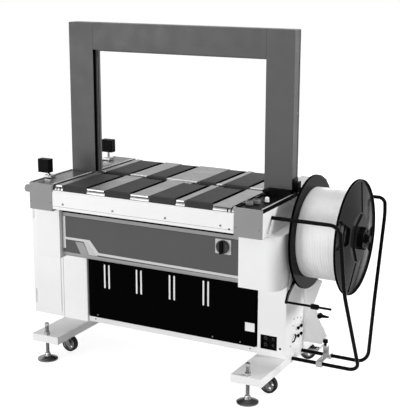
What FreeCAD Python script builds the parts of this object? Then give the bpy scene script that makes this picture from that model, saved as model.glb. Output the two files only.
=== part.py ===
import FreeCAD, Part
import math
import os

from FreeCAD import Placement, Rotation, Vector

# Arch strapping machine with a table of driven belts, a strap arch and a reel of plastic strap.
# Millimetres. +X is the reel side, +Y is the far side, +Z is up, and the floor is at Z = 0.
# The pieces are drawn with X = 0 in the middle of the arch and Y = 0 at the front of the table,
# and save() moves them so that the machine stands in the middle of its own outer box.

# Table and arch
table_top_z = 820
table_depth = 700
side_width = 122
cover_height = 117
arch_opening_width = 850
arch_opening_height = 560
arch_side_inset = 10
arch_leg_width = 126
arch_head_height = 118
arch_depth = 60
arch_wall = 3
arch_corner_radius = 5
arch_bridge_depth = 90
track_width = 16
track_height = 8
track_lip = 4
track_base_height = 2
bracket_width = 53
bracket_height = 64
bracket_plate = 4
bracket_block_width = 16
bracket_block_height = 44
bracket_block_margin = 5

# Legs
foot_width = 140
foot_height = 34
foot_top_z = 118
foot_wall = 3
leg_inset = 58
column_width = 134
column_depth = 204
column_wall = 3
column_top_z = 478
column_corner_radius = 5
window_width = 77
window_height = 64
window_base_z = 148
window_side_margin = 41
window_frame = 4
window_depth = 22
window_wall = 3
socket_radii = (8, 6, 8, 6)
socket_length = 13
socket_spread = 18
socket_rise = 14.5
socket_bore_share = 0.6
pad_radius = 46
pad_edge_height = 5
pad_height = 17
pad_hub_radius = 16
pad_hub_height = 31
screw_radius = 8
screw_top_z = 173
screw_head_radius = 10
screw_head_height = 13
screw_from_end = 17
nut_width_across = 24
nut_height = 13
running_gap = 0.05
rest_gap = 0.3

# Casters
caster_from_end = 134
caster_trail = 42
caster_plate_width = 84
caster_plate_depth = 66
caster_plate_height = 4
swivel_radius = 26
swivel_height = 11
fork_crown_height = 6
fork_leg_thickness = 3
fork_leg_radius = 11
wheel_radius = 38
wheel_width = 24
wheel_axle_z = 44.5
wheel_axle_radius = 5
wheel_side_gap = 1.5
tyre_depth = 9
tyre_edge = 3
hub_radius = 11
wheel_web = 8
spoke_hole_radius = 6
spoke_count = 5
brake_pin_radius = 3
brake_pin_height = 16
brake_reach = 44
pedal_length = 20
pedal_thickness = 3
pedal_rise = 7

# Lower body
beam_width = 40
beam_height = 29
beam_from_column_face = 10
tie_width = 30
tie_height = 60
tie_base_z = 640
tie_gap = 140
pool_side_gap = 10
pool_height = 323
sheet = 2
slot_width = 8.5
slot_height = 115
slot_round_share = 0.49
slot_base_height = 148
slot_pair_gap = 23.5
slot_pair_shares = (-0.7664, -0.3638, 0.0387, 0.4378)

# Housings and covers
housing_front_y = 48
housing_wall = 3
housing_bulge = 52
housing_ledge = 8
side_cover_thickness = 6
side_cover_height = 102
cap_depth = 12
cap_radius = 4
stub_radius = 16.5
stub_length = 35
stub_edge = 4
stub_y = 25
stub_drop = 33
apron_gap = 0.3
apron_top_drop = 24
apron_height = 83
apron_lip_height = 10
apron_front_y = 2
apron_top_y = 9
apron_return = 8

# Decks and controls
deck_side_gap = 1
deck_height = 8
deck_floor_height = 3
deck_lip_height = 18
deck_lip_width = 4
rim_height = 3
rim_width = 5
bezel_radius = 16
bezel_inner_radius = 12.3
bezel_height = 14
bezel_edge = 2
button_radius = 12
button_height = 15
button_dish = 2
button_travel = 4
button_inset = 20
button_front_y = 100
button_step_x = 16
button_step_y = 36
lamp_inset = 71
lamp_y = 160
lamp_radius = 9
lamp_height = 24
lamp_edge = 4
lamp_foot_radius = 12
lamp_foot_height = 5
stop_inset = 30
stop_from_arch = 74
stop_neck_radius = 11
stop_neck_height = 16
stop_foot_radius = 14.5
stop_foot_height = 6.5
stop_head_radius = 19
stop_head_height = 13
stop_head_edge = 4.3
stop_stem_radius = 7
stop_travel = 6
hood_width = 104
hood_depth = 40
hood_height = 26
hood_slope = 14

# Belts, rollers and bed
belt_thickness = 2.5
belt_gap = 0.3
roller_radius = 21.5
roller_end_gap = 3
inner_roller_end_gap = 19
roller_shaft_radius = 8
roller_ring_width = 6
roller_ring_depth = 1.5
roller_ring_insets = (34, 18)
bed_front_y = 11
bed_front_gap = 20
bed_rear_gap = 15
bed_rear_inset = 10
front_belt_shares = ((-0.8884, -0.6105), (-0.3986, -0.1139), (0.0957, 0.3827), (0.4829, 0.7699))
rear_belt_shares = ((-0.8884, -0.6036), (-0.3918, -0.1731), (0.1982, 0.3986), (0.4784, 0.7631))
belt_side_gap = 4
plate_end_gap = 15
plate_thickness = 1.5
plate_top_drop = 1
plate_nose = 6
plate_round_share = 0.9
plate_front_inset = 3
plate_middle_gap = 27
plate_rear_inset = 2
bar_width = 30
bar_height = 30
bar_place_shares = (0.1429, 0.3143, 0.6429, 0.8143)
rail_thickness = 4
rail_top_drop = 8

# Drives inside
motor_radius = 55
motor_length = 190
motor_inset = 79
motor_drop = 93
gearbox_width = 90
gearbox_height = 130
fin_count = 9
fin_height = 5
fin_width = 4
head_half_width = 75
head_height = 115
head_top_drop = 55
nose_width = 24
nose_top_drop = 6
anvil_half_width = 62
arm_plate_length = 105
arm_plate_thickness = 10
arm_plate_height = 90
arm_plate_round = 30
feed_roller_radius = 38
feed_roller_width = 18
feed_groove_depth = 2
feed_groove_width = 13
feed_shaft_radius = 8
feed_from_head = 55

# Doors
door_front_y = 67
door_side_gap = 5
door_top_gap = 3
door_base_gap = 5
door_depth = 24
door_skin = 2
door_round = 22
hinge_pin_radius = 4
hinge_pin_from_base = 14
hinge_pin_from_front = 13
trim_thickness = 1
trim_edge = 14
stripe_width = 11
stripe_left_drop = 125
stripe_low_drop = 177
stripe_right_drop = 182
stripe_knee_run = 142
stripe_foot_run = 187
switch_inset = 72
switch_drop = 66
switch_plate_width = 72
switch_plate_height = 62
switch_plate_thickness = 3
switch_radius = 28
switch_dial_height = 14
switch_bar_width = 13
switch_bar_height = 12
switch_bar_length = 52
switch_round_share = 0.45
switch_shaft_radius = 5

# Electrical cabinet
cabinet_width = 174
cabinet_top_gap = 3
cabinet_base_gap = 1
cabinet_wall = 2
cabinet_frame = 20
lid_overlap = 8
lid_thickness = 4
knuckle_radius = 4.5
knuckle_gap = 0.5
knuckle_height = 67
knuckle_part_count = 3
knuckle_pin_radius = 2.5
knuckle_base_heights = (50, 464)
board_thickness = 5
board_margin = 24
board_part_depth = 60
board_part_shares = ((0.1, 0.9, 0.08, 0.22), (0.1, 0.55, 0.32, 0.52), (0.62, 0.9, 0.32, 0.52),
                     (0.1, 0.9, 0.64, 0.9))

# Photo eyes
eye_width = 60
eye_depth = 36
eye_height = 60
eye_corner = 4
front_eye_rise = 23
rear_eye_rise = 42
eye_neck_radius = 6
eye_foot_width = 40
eye_foot_depth = 44
eye_foot_height = 10
front_eye_outset = 4
rear_eye_inset = 27
front_eye_y = 130
rear_eye_from_end = 100

# Reel
reel_axle_drop = 38
reel_bearing_radius = 44
reel_bearing_length = 12
axle_radius = 15
reel_side_gap = 21
flange_radius = 240
flange_thickness = 4
flange_rim = 10
flange_rim_width = 4
coil_radius = 190
coil_core_radius = 100
reel_inner_width = 181
flange_dish = 18
flange_turn = 15
slot_inner_radius = 104
slot_outer_radius = 229
flange_slot_width = 17
opening_inner_radius = 118
opening_outer_radius = 226
opening_half_angle = 16
hub_plate_half_height = 100
hub_plate_half_width = 66
hub_plate_shoulder = 34
hub_plate_thickness = 6
nut_radius = 48
lobe_count = 6
nut_lobe_radius = 13
nut_thickness = 24
nut_boss_radius = 20
nut_boss_height = 9
nut_hole_radius = 6
nut_hole_circle = 30
axle_overhang = 8
turn_count = 15
strap_gap = 1.2
strap_seat = 0.1

# Dancer arm
arm_side_gap = 4
arm_thickness = 8
arm_width = 14
arm_pivot_run = (-60, -127)
arm_knee_run = (-213, -218)
arm_foot_run = (-228, -244)
arm_pivot_radius = 6
arm_boss_radius = 13
dancer_rod_radius = 5
dancer_rod_end_gap = 4
collar_reach = 109
collar_length = 30
collar_radius = 11
spring_anchor_run = (-180, -105)
spring_pin_radius = 3
spring_radius = 5.5
spring_wire_radius = 0.9
eye_bolt_length = 20
eye_bolt_radius = 2.5
eye_bolt_head = 2
curl_count = 24

# Guide plate and release lever
guide_thickness = 3
guide_outline = ((436, 0), (424, 80), (318, 45), (290, 58), (250, 68), (176, 108), (134, 84), (134, 0))
lever_place = (76, 266)
lever_hub_radius = 13
lever_hub_length = 16
lever_hub_end_radius = 10.5
lever_root_radius = 8
lever_length = 40
lever_tip_radius = 4
lever_thickness = 5
lever_shaft_radius = 5

# Tube guard round the reel
guard_radius = 8
guard_reach = 31
guard_lean = 25
front_guard_top = (-253, 107)
front_guard_bend = (-211, -177)
front_guard_low_run = -35
front_guard_radii = (45, 320, 45)
rear_guard_top = (290, 110)
rear_guard_shoulder = (299, 49)
rear_guard_bend = (158, -314)
rear_guard_low_run = 73
rear_guard_radii = (28, 150, 600, 45)
clamp_reach = 127
clamp_width = 26
clamp_wall = 4
clamp_bar_thickness = 5
clamp_post_run = 39
clamp_post_height = 55
clamp_knob_radius = 11
clamp_knob_height = 26
clamp_knob_neck_radius = 6
clamp_knob_neck_height = 8
clamp_knob_edge = 3
clamp_stud_radius = 4

# Shared values
overrun = 1
full_turn = 360
hexagon_side_count = 6
quarter_count = 4
arc_count = 2
sample_count = 6
printed_digit_count = 3
alignment_share = 0.999999
ORIGIN = Vector(0, 0, 0)
RIGHT = Vector(1, 0, 0)
BACK = Vector(0, 1, 0)
UP = Vector(0, 0, 1)

# Places worked out from the sizes above
table_half_width = arch_opening_width / 2 + arch_leg_width + arch_side_inset
cover_base_z = table_top_z - cover_height
arch_opening_z = table_top_z + arch_opening_height
side_inner_x = table_half_width - side_width
arch_inner_x = arch_opening_width / 2
arch_outer_x = arch_inner_x + arch_leg_width
arch_front_y = (table_depth - arch_depth) / 2
arch_rear_y = arch_front_y + arch_depth
arch_top_z = arch_opening_z + arch_head_height
middle_y = table_depth / 2
leg_centre_x = table_half_width - leg_inset
foot_outer_x = leg_centre_x + foot_width / 2
column_outer_x = leg_centre_x + column_width / 2
column_inner_x = leg_centre_x - column_width / 2
column_front_y = middle_y - column_depth / 2
column_rear_y = middle_y + column_depth / 2
pool_half_width = column_inner_x - pool_side_gap
cabinet_outer_x = column_outer_x + cabinet_width
cabinet_top_z = cover_base_z - cabinet_top_gap
cabinet_base_z = foot_top_z + cabinet_base_gap
housing_outer_x = table_half_width + housing_bulge
tie_front_y = middle_y - tie_gap / 2 - tie_width
roller_half_width = side_inner_x - roller_end_gap
inner_roller_half_width = side_inner_x - inner_roller_end_gap
roller_axis_z = table_top_z - belt_thickness - belt_gap - roller_radius
belt_radius = roller_radius + belt_gap + belt_thickness
roller_axes_y = (bed_front_y + belt_radius, middle_y - bed_front_gap - belt_radius,
                 middle_y + bed_rear_gap + belt_radius, table_depth - bed_rear_inset - belt_radius)
plate_top_z = table_top_z - plate_top_drop
plate_base_z = plate_top_z - plate_thickness
bar_top_z = table_top_z - belt_thickness - belt_gap
rail_top_z = table_top_z - rail_top_drop
deck_top_z = rail_top_z + deck_height
control_floor_z = rail_top_z + deck_floor_height
deck_inner_x = side_inner_x + deck_side_gap
first_button = (deck_inner_x + button_inset, button_front_y)
second_button = (first_button[0] + button_step_x, button_front_y + button_step_y)
button_places = (first_button, second_button)
lamp_place = (deck_inner_x + lamp_inset, lamp_y)
stop_place = (deck_inner_x + stop_inset, arch_front_y - stop_from_arch)
apron_top_z = table_top_z - apron_top_drop
apron_fold_z = apron_top_z - apron_lip_height
apron_bottom_z = apron_top_z - apron_height
apron_half_width = side_inner_x - apron_gap
door_half_width = side_inner_x - door_side_gap
door_top_z = cover_base_z - door_top_gap
door_base_z = column_top_z + door_base_gap
hinge_y = door_front_y + hinge_pin_from_front
hinge_z = door_base_z + hinge_pin_from_base
switch_x = door_half_width - switch_inset
switch_z = door_top_z - switch_drop
feed_roller_x = head_half_width + feed_from_head
reel_axle_z = cover_base_z - reel_axle_drop
inner_flange_x = housing_outer_x + reel_side_gap
outer_flange_x = inner_flange_x + flange_thickness + reel_inner_width
hub_plate_x = outer_flange_x + flange_thickness + flange_dish
nut_x = hub_plate_x + hub_plate_thickness
axle_end_x = nut_x + nut_thickness + nut_boss_height + axle_overhang
arm_x = housing_outer_x + arm_side_gap + arm_thickness / 2
collar_x = arm_x + collar_reach
dancer_rod_end_x = outer_flange_x - dancer_rod_end_gap
guide_y = column_rear_y - guide_thickness
guard_top_x = outer_flange_x + guard_reach
guard_low_z = foot_top_z - foot_height / 2
clamp_x = foot_outer_x + clamp_reach
centre_x = (axle_end_x - cabinet_outer_x) / 2


# Helpers
def block(x0, x1, y0, y1, z0, z1):
    return Part.makeBox(x1 - x0, y1 - y0, z1 - z0, Vector(x0, y0, z0))


def rod(start, axis, radius, length):
    return Part.makeCylinder(radius, length, start, axis)


def prism(points, sweep):
    return Part.Face(Part.makePolygon(points + points[:1])).extrude(sweep)


def turned(outline, base, axis):
    """A profile of (radius, height) points turned round its own axis and stood at base."""
    points = [Vector(radius, 0, height) for radius, height in outline]
    solid = Part.Face(Part.makePolygon(points + points[:1])).revolve(ORIGIN, UP, full_turn)
    solid.Placement = Placement(base, Rotation(UP, axis))
    return solid


def soften(shape, axis, radius, chosen=lambda middle: True):
    """Round the straight edges that run along axis and whose middle is chosen."""
    edges = []
    for edge in shape.Edges:
        run = edge.lastVertex().Point - edge.firstVertex().Point
        along = run.Length > 0 and abs(run.dot(axis)) > run.Length * alignment_share
        if along and isinstance(edge.Curve, Part.Line) and chosen(edge.CenterOfMass):
            edges.append(edge)
    return shape.makeFillet(radius, edges)


def mirrored(shape):
    return shape.mirror(ORIGIN, RIGHT)


def behind(shape):
    return shape.mirror(Vector(0, middle_y, 0), BACK)


def axle_point(x):
    return Vector(x, middle_y, reel_axle_z)


def from_axle(x, run):
    """The place at x that is the run's two steps, back and up, away from the reel's axle."""
    return axle_point(x) + Vector(0, run[0], run[1])


def four_corners(shape):
    return [shape, mirrored(shape), behind(shape), mirrored(behind(shape))]


def bent_path(points, bends):
    """Straight runs through the points, joined at each inner point by a tangent arc."""
    edges = []
    start = points[0]
    for before, corner, after, bend in zip(points, points[1:], points[2:], bends):
        incoming = (before - corner).normalize()
        outgoing = (after - corner).normalize()
        half_angle = incoming.getAngle(outgoing) / 2
        reach = bend / math.tan(half_angle)
        enter = corner + incoming * reach
        leave = corner + outgoing * reach
        inward = (incoming + outgoing).normalize()
        middle = corner + inward * (bend / math.sin(half_angle) - bend)
        edges.append(Part.LineSegment(start, enter).toShape())
        edges.append(Part.Arc(enter, middle, leave).toShape())
        start = leave
    edges.append(Part.LineSegment(start, points[-1]).toShape())
    return Part.Wire(edges)


def tube(path, radius):
    first = path.OrderedEdges[0]
    start = first.valueAt(first.FirstParameter)
    profile = Part.Wire(Part.makeCircle(radius, start, first.tangentAt(first.FirstParameter)))
    return path.makePipeShell([profile], True, False)


def arc_to(start, corner, end):
    """The arc from start to end whose two end tangents meet at corner."""
    chord_middle = (start + end) / 2
    half_chord = (end - chord_middle).Length
    height = (corner - chord_middle).Length
    radius = (corner - start).Length * half_chord / height
    rise = radius - math.sqrt(radius * radius - half_chord * half_chord)
    middle = chord_middle + (corner - chord_middle) * (rise / height)
    return Part.Arc(start, middle, end).toShape()


def winding(radius, pitch, turns, wire_radius):
    """One unbroken coil of tube round Z, in two arcs to each quarter turn, with straight ends."""
    quarter = math.pi / 2
    rise = pitch / quarter_count

    def point(step):
        angle = step * quarter
        return Vector(radius * math.cos(angle), radius * math.sin(angle), step * rise)

    def tangent(step):
        angle = step * quarter
        return Vector(-radius * math.sin(angle), radius * math.cos(angle), rise / quarter).normalize()

    steps = turns * quarter_count
    edges = [Part.LineSegment(point(0) - tangent(0) * (2 * wire_radius), point(0)).toShape()]
    for step in range(steps):
        start, end = point(step), point(step + 1)
        leaving, arriving = tangent(step), tangent(step + 1)
        chord = end - start
        across = chord.dot(leaving + arriving)
        spread = 2 * (1 - leaving.dot(arriving))
        reach = (math.sqrt(across * across + spread * chord.dot(chord)) - across) / spread
        first_corner = start + leaving * reach
        second_corner = end - arriving * reach
        joint = (first_corner + second_corner) / 2
        edges.append(arc_to(start, first_corner, joint))
        edges.append(arc_to(joint, second_corner, end))
    edges.append(Part.LineSegment(point(steps), point(steps) + tangent(steps) * (2 * wire_radius)).toShape())
    path = Part.Wire(edges)
    print("least gap in a winding of", turns, "turns:",
          round(least_gap(edges, wire_radius), printed_digit_count), "mm")
    return tube(path, wire_radius)


def least_gap(edges, wire_radius):
    """The least gap between neighbouring turns, measured between points along the path."""
    samples = []
    for edge in edges:
        first, last = edge.FirstParameter, edge.LastParameter
        step = (last - first) / sample_count
        samples += [edge.valueAt(first + step * index) for index in range(sample_count)]
    per_turn = quarter_count * arc_count * sample_count
    gap = math.inf
    for index, sample in enumerate(samples):
        for other in samples[index + per_turn // 2:index + per_turn * 2]:
            gap = min(gap, sample.distanceToPoint(other))
    return gap - 2 * wire_radius


def save(name, *shapes):
    """Write one sub-part, moved to the middle of the machine's outer box."""
    solids = [solid for shape in shapes for solid in shape.Solids]
    moved = Part.makeCompound(solids)
    moved.translate(Vector(-centre_x, -middle_y, 0))
    moved.exportStep("parts/" + name + ".step")


# Legs: an open channel foot with a square tube column on it
def foot():
    inner_x = leg_centre_x - foot_width / 2
    channel = block(inner_x, foot_outer_x, 0, table_depth, foot_top_z - foot_height, foot_top_z)
    channel = soften(channel, BACK, foot_wall, lambda middle: middle.z > foot_top_z - foot_wall)
    hollow = block(inner_x + foot_wall, foot_outer_x - foot_wall, foot_wall, table_depth - foot_wall,
                   foot_top_z - foot_height - overrun, foot_top_z - foot_wall)
    channel = channel.cut(hollow)
    for y in (screw_from_end, table_depth - screw_from_end):
        start = Vector(leg_centre_x, y, foot_top_z - foot_wall - overrun)
        channel = channel.cut(rod(start, UP, screw_radius + running_gap, foot_wall + 2 * overrun))
    for y in (caster_from_end, table_depth - caster_from_end):
        plate = block(leg_centre_x - caster_plate_width / 2, leg_centre_x + caster_plate_width / 2,
                      y - caster_plate_depth / 2, y + caster_plate_depth / 2,
                      foot_top_z - foot_wall - caster_plate_height, foot_top_z - foot_wall)
        channel = channel.fuse(plate)
    return channel


def column():
    outer = block(column_inner_x, column_outer_x, column_front_y, column_rear_y, foot_top_z, column_top_z)
    outer = soften(outer, UP, column_corner_radius)
    inner = block(column_inner_x + column_wall, column_outer_x - column_wall, column_front_y + column_wall,
                  column_rear_y - column_wall, foot_top_z - overrun, column_top_z + overrun)
    return outer.cut(inner)


def left_leg():
    return mirrored(foot().fuse(column()).removeSplitter())


def window_box():
    """Left and right, bottom and top of the window in the right column."""
    x1 = column_outer_x - window_side_margin
    return x1 - window_width, x1, window_base_z, window_base_z + window_height


def right_leg():
    x0, x1, z0, z1 = window_box()
    window = block(x0, x1, column_front_y - overrun, column_front_y + column_wall + overrun, z0, z1)
    return foot().fuse(column().cut(window)).removeSplitter()


def sockets():
    """A tray behind the window with four round sockets on its floor."""
    x0, x1, z0, z1 = window_box()
    front = column_front_y + column_wall
    tray = block(x0 - window_frame, x1 + window_frame, front, front + window_depth, z0 - window_frame,
                 z1 + window_frame)
    floor_y = front + window_depth - window_wall
    tray = tray.cut(block(x0, x1, front - overrun, floor_y, z0, z1))
    middle_x = (x0 + x1) / 2
    middle_z = (z0 + z1) / 2
    for index, radius in enumerate(socket_radii):
        side = 1 if index % 2 else -1
        level = 1 if index < 2 else -1
        start = Vector(middle_x + side * socket_spread, floor_y - socket_length,
                       middle_z + level * socket_rise)
        ring = rod(start, BACK, radius, socket_length + overrun)
        tray = tray.fuse(ring.cut(rod(start, BACK, radius * socket_bore_share,
                                      socket_length * socket_bore_share)))
    return tray


def hexagon(across, height, centre):
    turn = 2 * math.pi / hexagon_side_count
    radius = across / 2 / math.cos(turn / 2)
    corners = [centre + Vector(radius * math.cos(turn * side), radius * math.sin(turn * side), 0)
               for side in range(hexagon_side_count)]
    return prism(corners, UP * height)


def levelling_foot(x, y):
    head_base = screw_top_z - screw_head_height
    head_edge = screw_head_radius - screw_radius
    profile = [(0, 0), (pad_radius, 0), (pad_radius, pad_edge_height), (pad_hub_radius, pad_height),
               (pad_hub_radius - pad_edge_height, pad_hub_height), (screw_radius, pad_hub_height),
               (screw_radius, head_base), (screw_head_radius, head_base),
               (screw_head_radius, screw_top_z - head_edge), (screw_radius, screw_top_z), (0, screw_top_z)]
    pad = turned(profile, Vector(x, y, 0), UP)
    lower = hexagon(nut_width_across, nut_height, Vector(x, y, foot_top_z - foot_wall - nut_height))
    upper = hexagon(nut_width_across, nut_height, Vector(x, y, foot_top_z))
    return pad.fuse(lower).fuse(upper).removeSplitter()


# Swivel casters
def trailing(shape, x, y):
    """Turn a caster piece, drawn with its wheel behind the pivot, so that it trails to the right."""
    shape.rotate(Vector(x, y, 0), UP, -full_turn / quarter_count)
    return shape


def caster_fork(x, y, brake=False):
    top = foot_top_z - foot_wall - caster_plate_height
    swivel = rod(Vector(x, y, top - swivel_height), UP, swivel_radius, swivel_height)
    inner = wheel_width / 2 + wheel_side_gap
    outer = inner + fork_leg_thickness
    crown_top = top - swivel_height
    crown = block(x - outer, x + outer, y - swivel_radius, y + swivel_radius, crown_top - fork_crown_height,
                  crown_top)
    axle_y = y + caster_trail
    corners = [Vector(0, y - swivel_radius, crown_top), Vector(0, y + swivel_radius, crown_top),
               Vector(0, axle_y + fork_leg_radius, wheel_axle_z),
               Vector(0, axle_y - fork_leg_radius, wheel_axle_z)]
    fork = swivel.fuse(crown)
    for x0 in (x - outer, x + inner):
        leg = prism([corner + RIGHT * x0 for corner in corners], RIGHT * fork_leg_thickness)
        leg = leg.fuse(rod(Vector(x0, axle_y, wheel_axle_z), RIGHT, fork_leg_radius, fork_leg_thickness))
        if brake:
            ear_end = axle_y + brake_reach + fork_leg_radius / 2
            pin_z = wheel_axle_z + brake_pin_height
            ear = [Vector(x0, axle_y, wheel_axle_z - fork_leg_radius / 2), Vector(x0, axle_y, pin_z),
                   Vector(x0, ear_end, pin_z + fork_leg_radius / 2),
                   Vector(x0, ear_end, wheel_axle_z + fork_leg_radius / 2)]
            leg = leg.fuse(prism(ear, RIGHT * fork_leg_thickness))
            pin = Vector(x0 - overrun, axle_y + brake_reach, pin_z)
            leg = leg.cut(rod(pin, RIGHT, brake_pin_radius + running_gap, fork_leg_thickness + 2 * overrun))
        fork = fork.fuse(leg)
    axle = rod(Vector(x - outer, axle_y, wheel_axle_z), RIGHT, wheel_axle_radius, 2 * outer)
    return trailing(fork.fuse(axle).removeSplitter(), x, y)


def caster_wheel(x, y):
    half = wheel_width / 2
    rim_radius = wheel_radius - tyre_depth
    edge = tyre_edge
    bore = wheel_axle_radius + running_gap
    profile = [(bore, -half), (hub_radius, -half), (hub_radius, -wheel_web / 2),
               (rim_radius - edge, -wheel_web / 2),
               (rim_radius - edge, -half + edge), (rim_radius, -half), (wheel_radius - edge, -half),
               (wheel_radius, -half + edge), (wheel_radius, half - edge), (wheel_radius - edge, half),
               (rim_radius, half),
               (rim_radius - edge, half - edge), (rim_radius - edge, wheel_web / 2),
               (hub_radius, wheel_web / 2),
               (hub_radius, half), (bore, half)]
    centre = Vector(x, y + caster_trail, wheel_axle_z)
    wheel = turned(profile, centre, RIGHT)
    circle = (hub_radius + rim_radius - edge) / 2
    for index in range(spoke_count):
        angle = 2 * math.pi * index / spoke_count
        place = centre + Vector(-half, circle * math.cos(angle), circle * math.sin(angle))
        wheel = wheel.cut(rod(place, RIGHT, spoke_hole_radius, wheel_width))
    return trailing(wheel, x, y)


def caster_brake(x, y):
    """Pedal on a pin behind the wheel, pressed down to jam the tyre."""
    inner = wheel_width / 2 + wheel_side_gap
    pin_y = y + caster_trail + brake_reach
    pin_z = wheel_axle_z + brake_pin_height
    pin = rod(Vector(x - inner - fork_leg_thickness, pin_y, pin_z), RIGHT, brake_pin_radius,
              2 * (inner + fork_leg_thickness))
    reach = pin_y + pedal_length
    profile = [Vector(0, pin_y, pin_z - pedal_thickness / 2), Vector(0, reach, pin_z + pedal_rise),
               Vector(0, reach, pin_z + pedal_rise + pedal_thickness),
               Vector(0, pin_y, pin_z + pedal_thickness / 2)]
    half = inner - wheel_side_gap / 2
    pedal = prism([corner + RIGHT * (x - half) for corner in profile], RIGHT * (2 * half))
    return trailing(pin.fuse(pedal).removeSplitter(), x, y)


# Cross beams between the columns and ties between the housings
def cross_frame():
    beams = []
    for y in (column_front_y + beam_from_column_face, column_rear_y - beam_from_column_face - beam_width):
        beams.append(block(-column_inner_x, column_inner_x, y, y + beam_width, foot_top_z,
                           foot_top_z + beam_height))
    for y in (tie_front_y, middle_y + tie_gap / 2):
        beams.append(block(-side_inner_x, side_inner_x, y, y + tie_width, tie_base_z,
                           tie_base_z + tie_height))
    return beams


# Strap pool: a sheet box whose front and back have pairs of upright viewing slots
def strap_pool():
    base = foot_top_z + beam_height
    box = block(-pool_half_width, pool_half_width, column_front_y, column_rear_y, base, base + pool_height)
    box = box.cut(block(-pool_half_width + sheet, pool_half_width - sheet, column_front_y + sheet,
                        column_rear_y - sheet, base + sheet, base + pool_height + overrun))
    slot_base_z = base + slot_base_height
    for share in slot_pair_shares:
        for side in (-1, 1):
            x = pool_half_width * share + side * slot_pair_gap / 2
            slot = block(x - slot_width / 2, x + slot_width / 2, column_front_y - overrun,
                         column_front_y + sheet + overrun,
                         slot_base_z, slot_base_z + slot_height)
            slot = soften(slot, BACK, slot_width * slot_round_share)
            box = box.cut(slot).cut(behind(slot))
    return box


# Housings under the table
def housing(outer_x, corner):
    """A sheet housing with an open top and a bridge across it for the arch's foot."""
    rear = table_depth - housing_front_y

    def body(inset, z0, z1):
        solid = block(side_inner_x + inset, outer_x - inset, housing_front_y + inset, rear - inset, z0, z1)
        return soften(solid, UP, corner - inset,
                      lambda middle: middle.x > outer_x - corner) if corner else solid

    shell = body(0, column_top_z, cover_base_z)
    shell = shell.cut(body(housing_wall, column_top_z + housing_wall, cover_base_z - housing_wall))
    x0 = side_inner_x + housing_ledge
    x1 = table_half_width - housing_ledge
    for y0, y1 in ((housing_front_y + housing_ledge, middle_y - arch_bridge_depth / 2),
                   (middle_y + arch_bridge_depth / 2, rear - housing_ledge)):
        shell = shell.cut(block(x0, x1, y0, y1, cover_base_z - housing_wall - overrun,
                                cover_base_z + overrun))
    for y in (hinge_y, table_depth - hinge_y):
        start = Vector(side_inner_x - overrun, y, hinge_z)
        shell = shell.cut(rod(start, RIGHT, hinge_pin_radius + running_gap, housing_wall + 2 * overrun))
    return shell


def left_housing():
    return mirrored(housing(table_half_width, 0))


def right_housing():
    """The reel's bearing stands on the outer side, with the dancer arm's bore below it."""
    shell = housing(housing_outer_x, housing_bulge)
    start = Vector(housing_outer_x, middle_y, reel_axle_z)
    profile = [(0, 0), (reel_bearing_radius, 0),
               (reel_bearing_radius - reel_bearing_length / 2, reel_bearing_length),
               (0, reel_bearing_length)]
    shell = shell.fuse(turned(profile, start, RIGHT))
    inside = Vector(housing_outer_x - housing_wall - overrun, middle_y, reel_axle_z)
    reach = housing_wall + reel_bearing_length + 2 * overrun
    shell = shell.cut(rod(inside, RIGHT, axle_radius + running_gap, reach))
    pivot = from_axle(housing_outer_x - housing_wall - overrun, arm_pivot_run)
    shell = shell.cut(rod(pivot, RIGHT, arm_pivot_radius + running_gap, housing_wall + 2 * overrun))
    anchor = from_axle(housing_outer_x, spring_anchor_run)
    return shell.fuse(rod(anchor, RIGHT, spring_pin_radius, arm_x - housing_outer_x + spring_radius))


# Grey corner caps, the white covers between them and the stub on the left front cap
def corner_caps():
    cap = block(side_inner_x, table_half_width, 0, cap_depth, cover_base_z, table_top_z)
    cap = soften(cap, UP, cap_radius, lambda middle: middle.y < cap_radius)
    top_front = [edge for edge in cap.Edges
                 if edge.BoundBox.ZMin > table_top_z - cap_radius and edge.BoundBox.YMin < cap_depth - overrun
                 and edge.BoundBox.YMax < cap_depth]
    cap = cap.makeFillet(cap_radius / 2, top_front)
    centre = Vector(-table_half_width, stub_y, table_top_z - stub_drop)
    edge = stub_edge
    profile = [(0, 0), (stub_radius, 0), (stub_radius, stub_length - edge), (stub_radius - edge, stub_length),
               (0, stub_length)]
    return four_corners(cap) + [turned(profile, centre, -RIGHT)]


def side_covers():
    cover = block(table_half_width - side_cover_thickness, table_half_width, cap_depth,
                  table_depth - cap_depth,
                  cover_base_z, cover_base_z + side_cover_height)
    return [cover, mirrored(cover)]


def apron():
    """Folded sheet: a sloping upper lip, an upright face and a short return at the foot."""
    outside = [(apron_top_y, apron_top_z), (apron_front_y, apron_fold_z), (apron_front_y, apron_bottom_z),
               (apron_front_y + apron_return, apron_bottom_z)]
    inside = [(apron_front_y + apron_return, apron_bottom_z + sheet),
              (apron_front_y + sheet, apron_bottom_z + sheet),
              (apron_front_y + sheet, apron_fold_z - sheet / 2), (apron_top_y, apron_top_z - sheet)]
    points = [Vector(-apron_half_width, y, z) for y, z in outside + inside]
    return prism(points, RIGHT * (2 * apron_half_width))


# Deck plates beside the belts
def deck_slab(height):
    """The plate in front of the arch, with its outer lip turned down over the side cover."""
    y0, y1 = cap_depth, arch_front_y
    slab = block(deck_inner_x, table_half_width - deck_lip_width, y0, y1, rail_top_z, rail_top_z + height)
    lip_base = cover_base_z + side_cover_height
    lip = block(table_half_width - deck_lip_width, table_half_width, y0, y1, lip_base,
                lip_base + deck_lip_height)
    return slab.fuse(lip).removeSplitter()


def rim():
    x1 = table_half_width - deck_lip_width
    return block(x1 - rim_width, x1, cap_depth, arch_front_y, rail_top_z + deck_height,
                 rail_top_z + deck_height + rim_height)


def left_deck():
    plate = deck_slab(deck_height).fuse(rim())
    return [mirrored(plate), mirrored(behind(plate))]


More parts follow.
